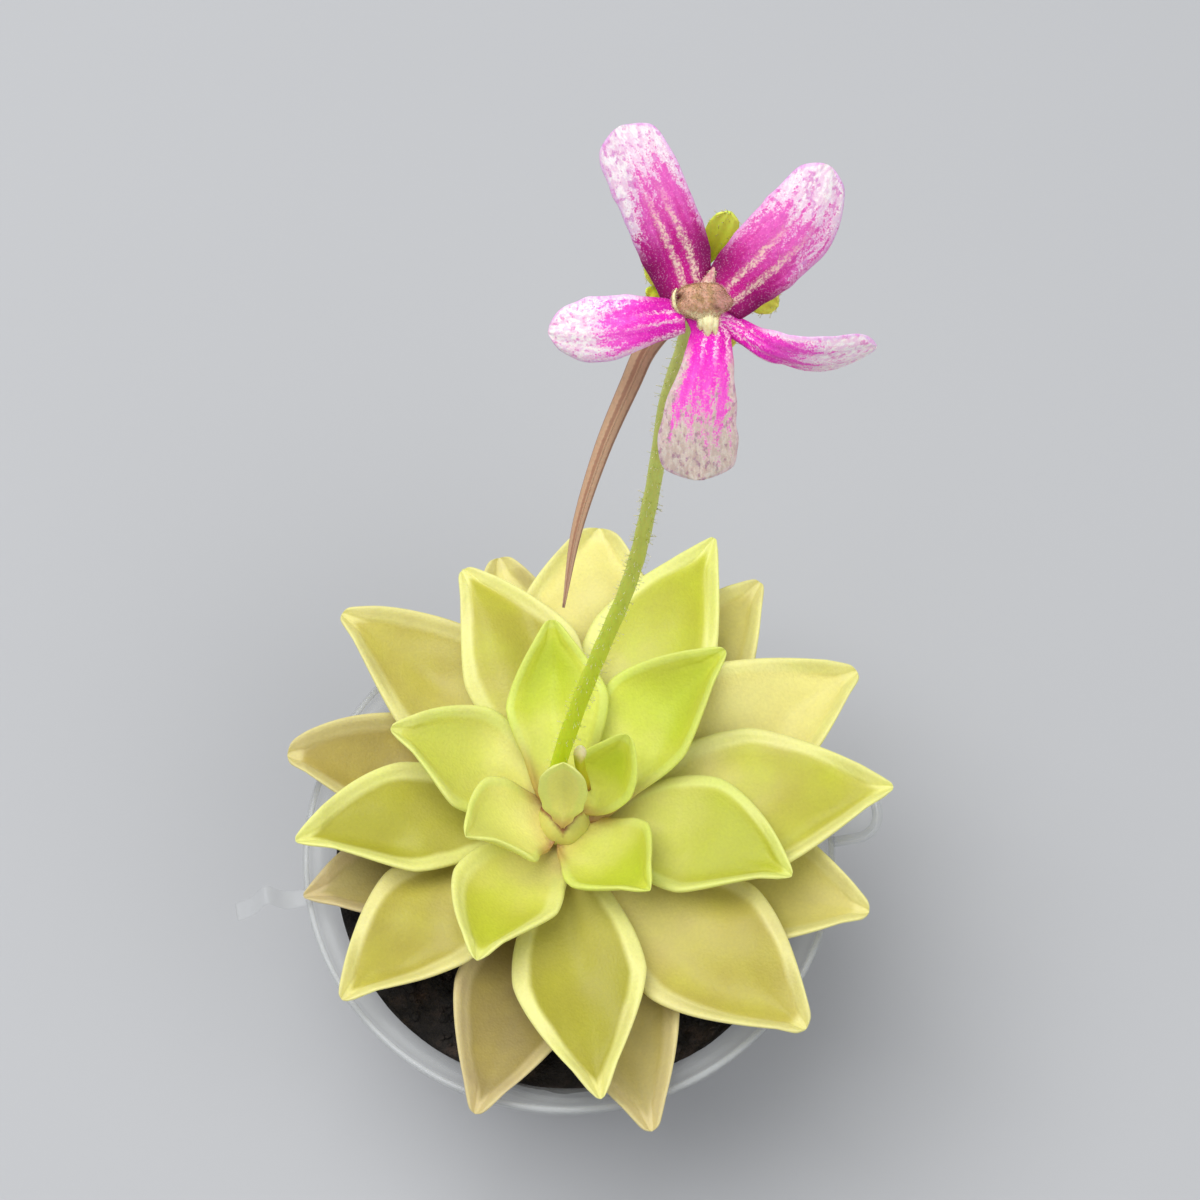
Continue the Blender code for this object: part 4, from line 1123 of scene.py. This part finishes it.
def build_sepals():
    # The sepals' green is brighter than their own colour: partly painted light, lifting sepals that sit
    # in the petals' shade.
    stops = (0.0, rgb(178, 220, 20)), (0.6, rgb(226, 255, 58)), (1.0, rgb(240, 255, 100))
    skin = green_look("sepal_skin", stops)
    rng = random.Random(8)
    roots = []
    for seed, (name, midline) in enumerate(SEPALS.items()):
        rings, marks = blade(midline, SEPAL_WIDTHS, SEPAL_ARCH, SEPAL_THICKNESS, 30, 0.06, 5.1 * seed)
        stems = [(t, 0, 0) for _, t, _ in marks]
        piece(name + "_lobe", loft(rings), skin, "sepal_green", (name,), stem=stems)
        for _ in range(70):
            ring = rings[rng.randrange(6, 30)]
            spot = rng.choice(ring)
            centre = sum(ring, Vector()) / len(ring)
            stray = Vector([rng.gauss(0, 0.2) for _ in range(3)])
            roots.append((spot, (spot - centre + stray).normalized()))
    down = hair_look("sepal_down", rgb(214, 222, 90), rgb(226, 230, 130), rgb(240, 232, 180))
    hairs("sepal_hairs", rng, roots, down, "sepal_green", 0.3, 0.03, bead=0.05)
    _, rings = tube(CALYX, 4, 24, in_flower)
    marks = [(0.3, 0, 0)] * (len(rings) * 24)
    piece("calyx_cup", loft(rings), skin, "sepal_green", stem=marks)


def spur_look():
    """Tan skin with darker lengthwise stripes, pinker by the petals."""
    look = Look("spur_skin", Subsurface_Weight=0.1, Subsurface_Scale=0.4 * MM)
    turn, along, _ = look.attribute("spur")
    fine = look.grain(look.place(), 3.4, 3.0)
    stripe = look.calc("SINE", turn * (2 * math.pi * SPUR_STRIPES) + fine.spread(-0.5, 0.5))
    stops = (
        (0.0, rgb(220, 160, 158)),
        (0.12, rgb(204, 164, 136)),
        (0.3, rgb(202, 166, 130)),
        (1.0, rgb(192, 154, 122)),
    )
    color = look.mix(stripe.step(0.2, 0.9) * 0.75, look.ramp(along, stops), rgb(146, 98, 72))
    color = look.shade(color, fine, 0.85, 1.15)
    return look.finish(color, fine.spread(0.45, 0.65), fine + stripe * 0.3, 0.08, 0.6)


def build_tube():
    """The hollow throat and the spur in one skin: up the well, over the lip, down outside."""
    sides = 36
    _, well = tube(THROAT_WELL, 5, sides, in_flower)
    _, outside = tube(TUBE_AND_SPUR, 9, sides, in_flower)
    along = [0.0] * len(well) + shares(len(outside))
    marks = [(s / sides, t, 0) for t in along for s in range(sides)]
    body = loft(well[::-1] + outside)
    piece("tube_and_spur", body, spur_look(), "spur_tan", ("corolla_tube",), spur=marks)


def cream_look(name, light, dark):
    """Soft mottled tissue."""
    look = Look(name, Subsurface_Weight=0.15, Subsurface_Scale=0.4 * MM)
    fine = look.grain(look.place(), 3.0, 3.0)
    color = look.mix(fine.step(0.3, 0.7), dark, light)
    return look.finish(color, fine.spread(0.45, 0.65), fine, 0.1)


def palate_look():
    """Mottled tan skin, with painted shade in the slits, pinker to the right and cream at the foot."""
    look = Look("palate_skin", Subsurface_Weight=0.15, Subsurface_Scale=0.4 * MM)
    x, y, dark = look.attribute("palate")
    place = look.place()
    fine = look.grain(place, 5.0, 3.0)
    ragged = fine.spread(-0.6, 0.6)
    color = look.mix(look.grain(place, 1.5).step(0.38, 0.62), rgb(184, 144, 100), rgb(222, 170, 142))
    color = look.mix((x + ragged).step(0.8, 1.9) * 0.7, color, rgb(204, 140, 140))
    color = look.mix((y + ragged).step(-0.9, -1.6), color, rgb(250, 236, 184))
    # Painted shade: brown deep in the slits beside the palate.
    color = look.mix(dark * 0.9, color, rgb(108, 70, 44))
    color = look.shade(color, fine, 0.72, 1.22)
    return look.finish(color, fine.spread(0.5, 0.7), fine, 0.12, 0.8)


def slit_depth(x, y):
    """Up to 1 in the middle of a slit beside the palate, and 0 away from it."""
    depths = []
    for slit_x, slit_y, turn, length, width, depth in THROAT_SLITS:
        along = (x - slit_x) * math.cos(turn) + (y - slit_y) * math.sin(turn)
        across = (y - slit_y) * math.cos(turn) - (x - slit_x) * math.sin(turn)
        depths.append(depth * math.exp(-((along / length) ** 2) - (across / width) ** 2))
    return max(depths)


def throat_dome(a, b):
    """A point of the lumpy palate, at angle a from its top and b round it, in the flower's axes."""
    reach = math.sin(a) * (1 + 0.05 * math.cos(5 * b + 0.8))
    x, y, z = 2.3 * reach * math.cos(b) + 0.28, 1.55 * reach * math.sin(b) - 0.35, 0.75 * math.cos(a)
    lump = 1 + 0.06 * noise.noise(Vector((x, y, z)) * 1.3)
    z *= lump * (1 + 0.12 * noise.noise(Vector((x, y, 7)) * 1.2))
    return Vector((x * lump, y * lump, z - 0.7 * slit_depth(x, y) - 0.1))


def build_throat():
    """The hairy palate that closes the throat, its cream rim, and the cream teeth below it."""
    rng = random.Random(21)
    turn = full_turn(60)
    tilts = [0.03 + (math.pi - 0.06) * k / 26 for k in range(27)]
    rings = [[throat_dome(a, b) for b in turn] for a in tilts]
    # The third mark is the slit depth, which sets the painted shade in the slits.
    marks = [(p.x, p.y, slit_depth(p.x, p.y)) for ring in rings for p in ring]
    dome = loft([[in_flower(p) for p in ring] for ring in rings])
    piece("throat_palate", dome, palate_look(), "pistil_cream", palate=marks)
    centre = in_flower((0.2, -0.25, -1.2))
    roots = []
    while len(roots) < 1500:
        spot = throat_dome(math.acos(rng.uniform(-0.2, 1)), rng.uniform(0, 2 * math.pi))
        if slit_depth(spot.x, spot.y) < 0.4:
            spot = in_flower(spot)
            roots.append((spot, (spot - centre).normalized()))
    cream = cream_look("palate_cream", rgb(252, 246, 196), rgb(240, 222, 160))
    streak = cream_look("palate_streak", rgb(240, 208, 186), rgb(190, 116, 128))
    tufts = []
    for name, line in PALATE_LINES.items():
        path, rings = tube(line, 8, 18, in_flower)
        look = streak if name == "palate_ridge" else cream
        piece(name, loft(rings), look, "pistil_cream")
        for _ in range(140):
            k, n = rng.randrange(1, len(rings) - 2), rng.randrange(18)
            tufts.append((rings[k][n], (rings[k][n] - in_flower(path[k][:3])).normalized()))
    # The felt darkens toward its roots: partly the palate's tan, partly painted shade deep in the felt.
    felt = hair_look("palate_felt", rgb(190, 148, 110), rgb(224, 184, 148), rgb(250, 232, 206))
    hairs("throat_felt", rng, roots, felt, "pistil_cream", 0.16, 0.018)
    down = hair_look("palate_down", rgb(244, 226, 170), rgb(250, 240, 196), rgb(255, 250, 226))
    hairs("throat_down", rng, tufts, down, "pistil_cream", 0.16, 0.02)


# ---- the crown


def crown_look():
    """Young tissue, leaf-coloured round a brown crease of painted shade below the youngest leaf."""
    look = Look("crown_flesh", Subsurface_Weight=0.2, Subsurface_Scale=0.8 * MM)
    place = look.place()
    fine = look.grain(place, 2.2, 3.0)
    x, y, _ = look.split(place)
    arm = abs(x - CREASE_X) * CREASE_SLOPE
    away = abs(y - CREASE_Y - arm) + fine.spread(-0.3, 0.3)
    # Painted shade: brown in the V-shaped crease under the youngest leaf's edges, leaf colour away from
    # it.
    color = look.mix(away.step(0.3, 1.2), rgb(140, 92, 54), rgb(206, 202, 108))
    return look.finish(look.shade(color, fine, 0.9, 1.08), fine.spread(0.45, 0.65), fine, 0.06)


def build_crown_bud():
    """The soft tissue that the leaf bases close on, and a young bud beside the scape."""
    radius, height = 3.1, 2.9
    rings = []
    for k in range(1, 15):
        a = math.pi / 2 * k / 14
        ring = []
        for b in full_turn(40):
            x, y = math.sin(a) * math.cos(b), math.sin(a) * math.sin(b)
            lump = 1 + 0.06 * noise.noise(Vector((x, y, 3)) * 2.2)
            z = CROWN_TOP - 2.2 + height * math.cos(a) * lump
            ring.append((CROWN_X + radius * x * lump, CROWN_Y + radius * y * lump, z))
        rings.append(ring)
    piece("crown_heart", loft(rings), crown_look(), "crown_tissue")
    stops = (
        (0.0, rgb(140, 70, 40)),
        (0.2, rgb(190, 176, 30)),
        (0.6, rgb(198, 196, 40)),
        (0.8, rgb(242, 226, 170)),
        (1.0, rgb(250, 240, 190)),
    )
    _, rings = tube(YOUNG_BUD, 6, 20)
    marks = [(t, 0, 0) for t in shares(len(rings)) for _ in range(20)]
    piece("young_bud", loft(rings), green_look("bud_skin", stops), "crown_tissue", stem=marks)


def dress_solids():
    """Better materials for the CAD nodes that stay."""
    pollen = cream_look("anther_cream", rgb(250, 240, 200), rgb(232, 214, 150))
    looks = {
        "crown": cream_look("crown_skin", rgb(200, 158, 100), rgb(160, 112, 70)),
        "pistil": cream_look("stigma_cream", rgb(246, 232, 180), rgb(226, 200, 140)),
        "stamen_left": pollen,
        "stamen_right": pollen,
    }
    for node, look in looks.items():
        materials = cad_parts[node].data.materials
        materials.clear()
        materials.append(look)


# ---- the studio


def build_studio():
    mesh = bpy.data.meshes.new("floor")
    bm = bmesh.new()
    bmesh.ops.create_grid(bm, x_segments=8, y_segments=8, size=2.5)
    bm.to_mesh(mesh)
    bm.free()
    floor = bpy.data.objects.new("floor", mesh)
    bpy.context.scene.collection.objects.link(floor)
    look = Look("studio_floor")
    cloudy = look.grain(look.place(), 0.004, 3.0)
    color = look.mix(cloudy, rgb(180, 181, 183), rgb(188, 189, 191))
    mesh.materials.append(look.finish(color, cloudy.spread(0.7, 0.85)))
    floor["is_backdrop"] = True
    world = bpy.data.worlds.new("studio")
    world.use_nodes = True
    world.node_tree.nodes["Background"].inputs[0].default_value = (0.92, 0.95, 1.0, 1)
    world.node_tree.nodes["Background"].inputs[1].default_value = 0.4
    bpy.context.scene.world = world
    for name, place, size, energy in (
        ("key", (-0.26, 0.16, 0.80), 0.7, 6.0),
        ("fill", (0.45, -0.35, 0.6), 0.8, 2.3),
    ):
        light = bpy.data.lights.new(name, "AREA")
        light.shape = "SQUARE"
        light.size = size
        light.energy = energy
        lamp = bpy.data.objects.new(name, light)
        lamp.location = place
        aim = Vector((0, 0, 0.05)) - Vector(place)
        lamp.rotation_euler = aim.to_track_quat("-Z", "Y").to_euler()
        bpy.context.scene.collection.objects.link(lamp)


def build_camera():
    """A downward three-quarter view from the front."""
    lens = bpy.data.cameras.new("camera")
    lens.sensor_width = 36
    lens.lens = 72.99
    lens.clip_start = 0.01
    camera = bpy.data.objects.new("camera", lens)
    camera.location = (0.00361, -0.09236, 0.30330)
    camera.rotation_euler = (math.radians(90 - 65.2), 0, 0)
    bpy.context.scene.collection.objects.link(camera)
    bpy.context.scene.camera = camera
    bpy.context.scene.view_settings.view_transform = "Standard"


build_leaves()
build_pot()
build_substrate()
build_petals()
build_scape()
build_sepals()
build_tube()
build_throat()
build_crown_bud()
dress_solids()
build_studio()
build_camera()

boxes = {"cad": CAD_BOX, "visual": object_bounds()}
{key: [list(corner) for corner in box] for key, box in boxes.items()}
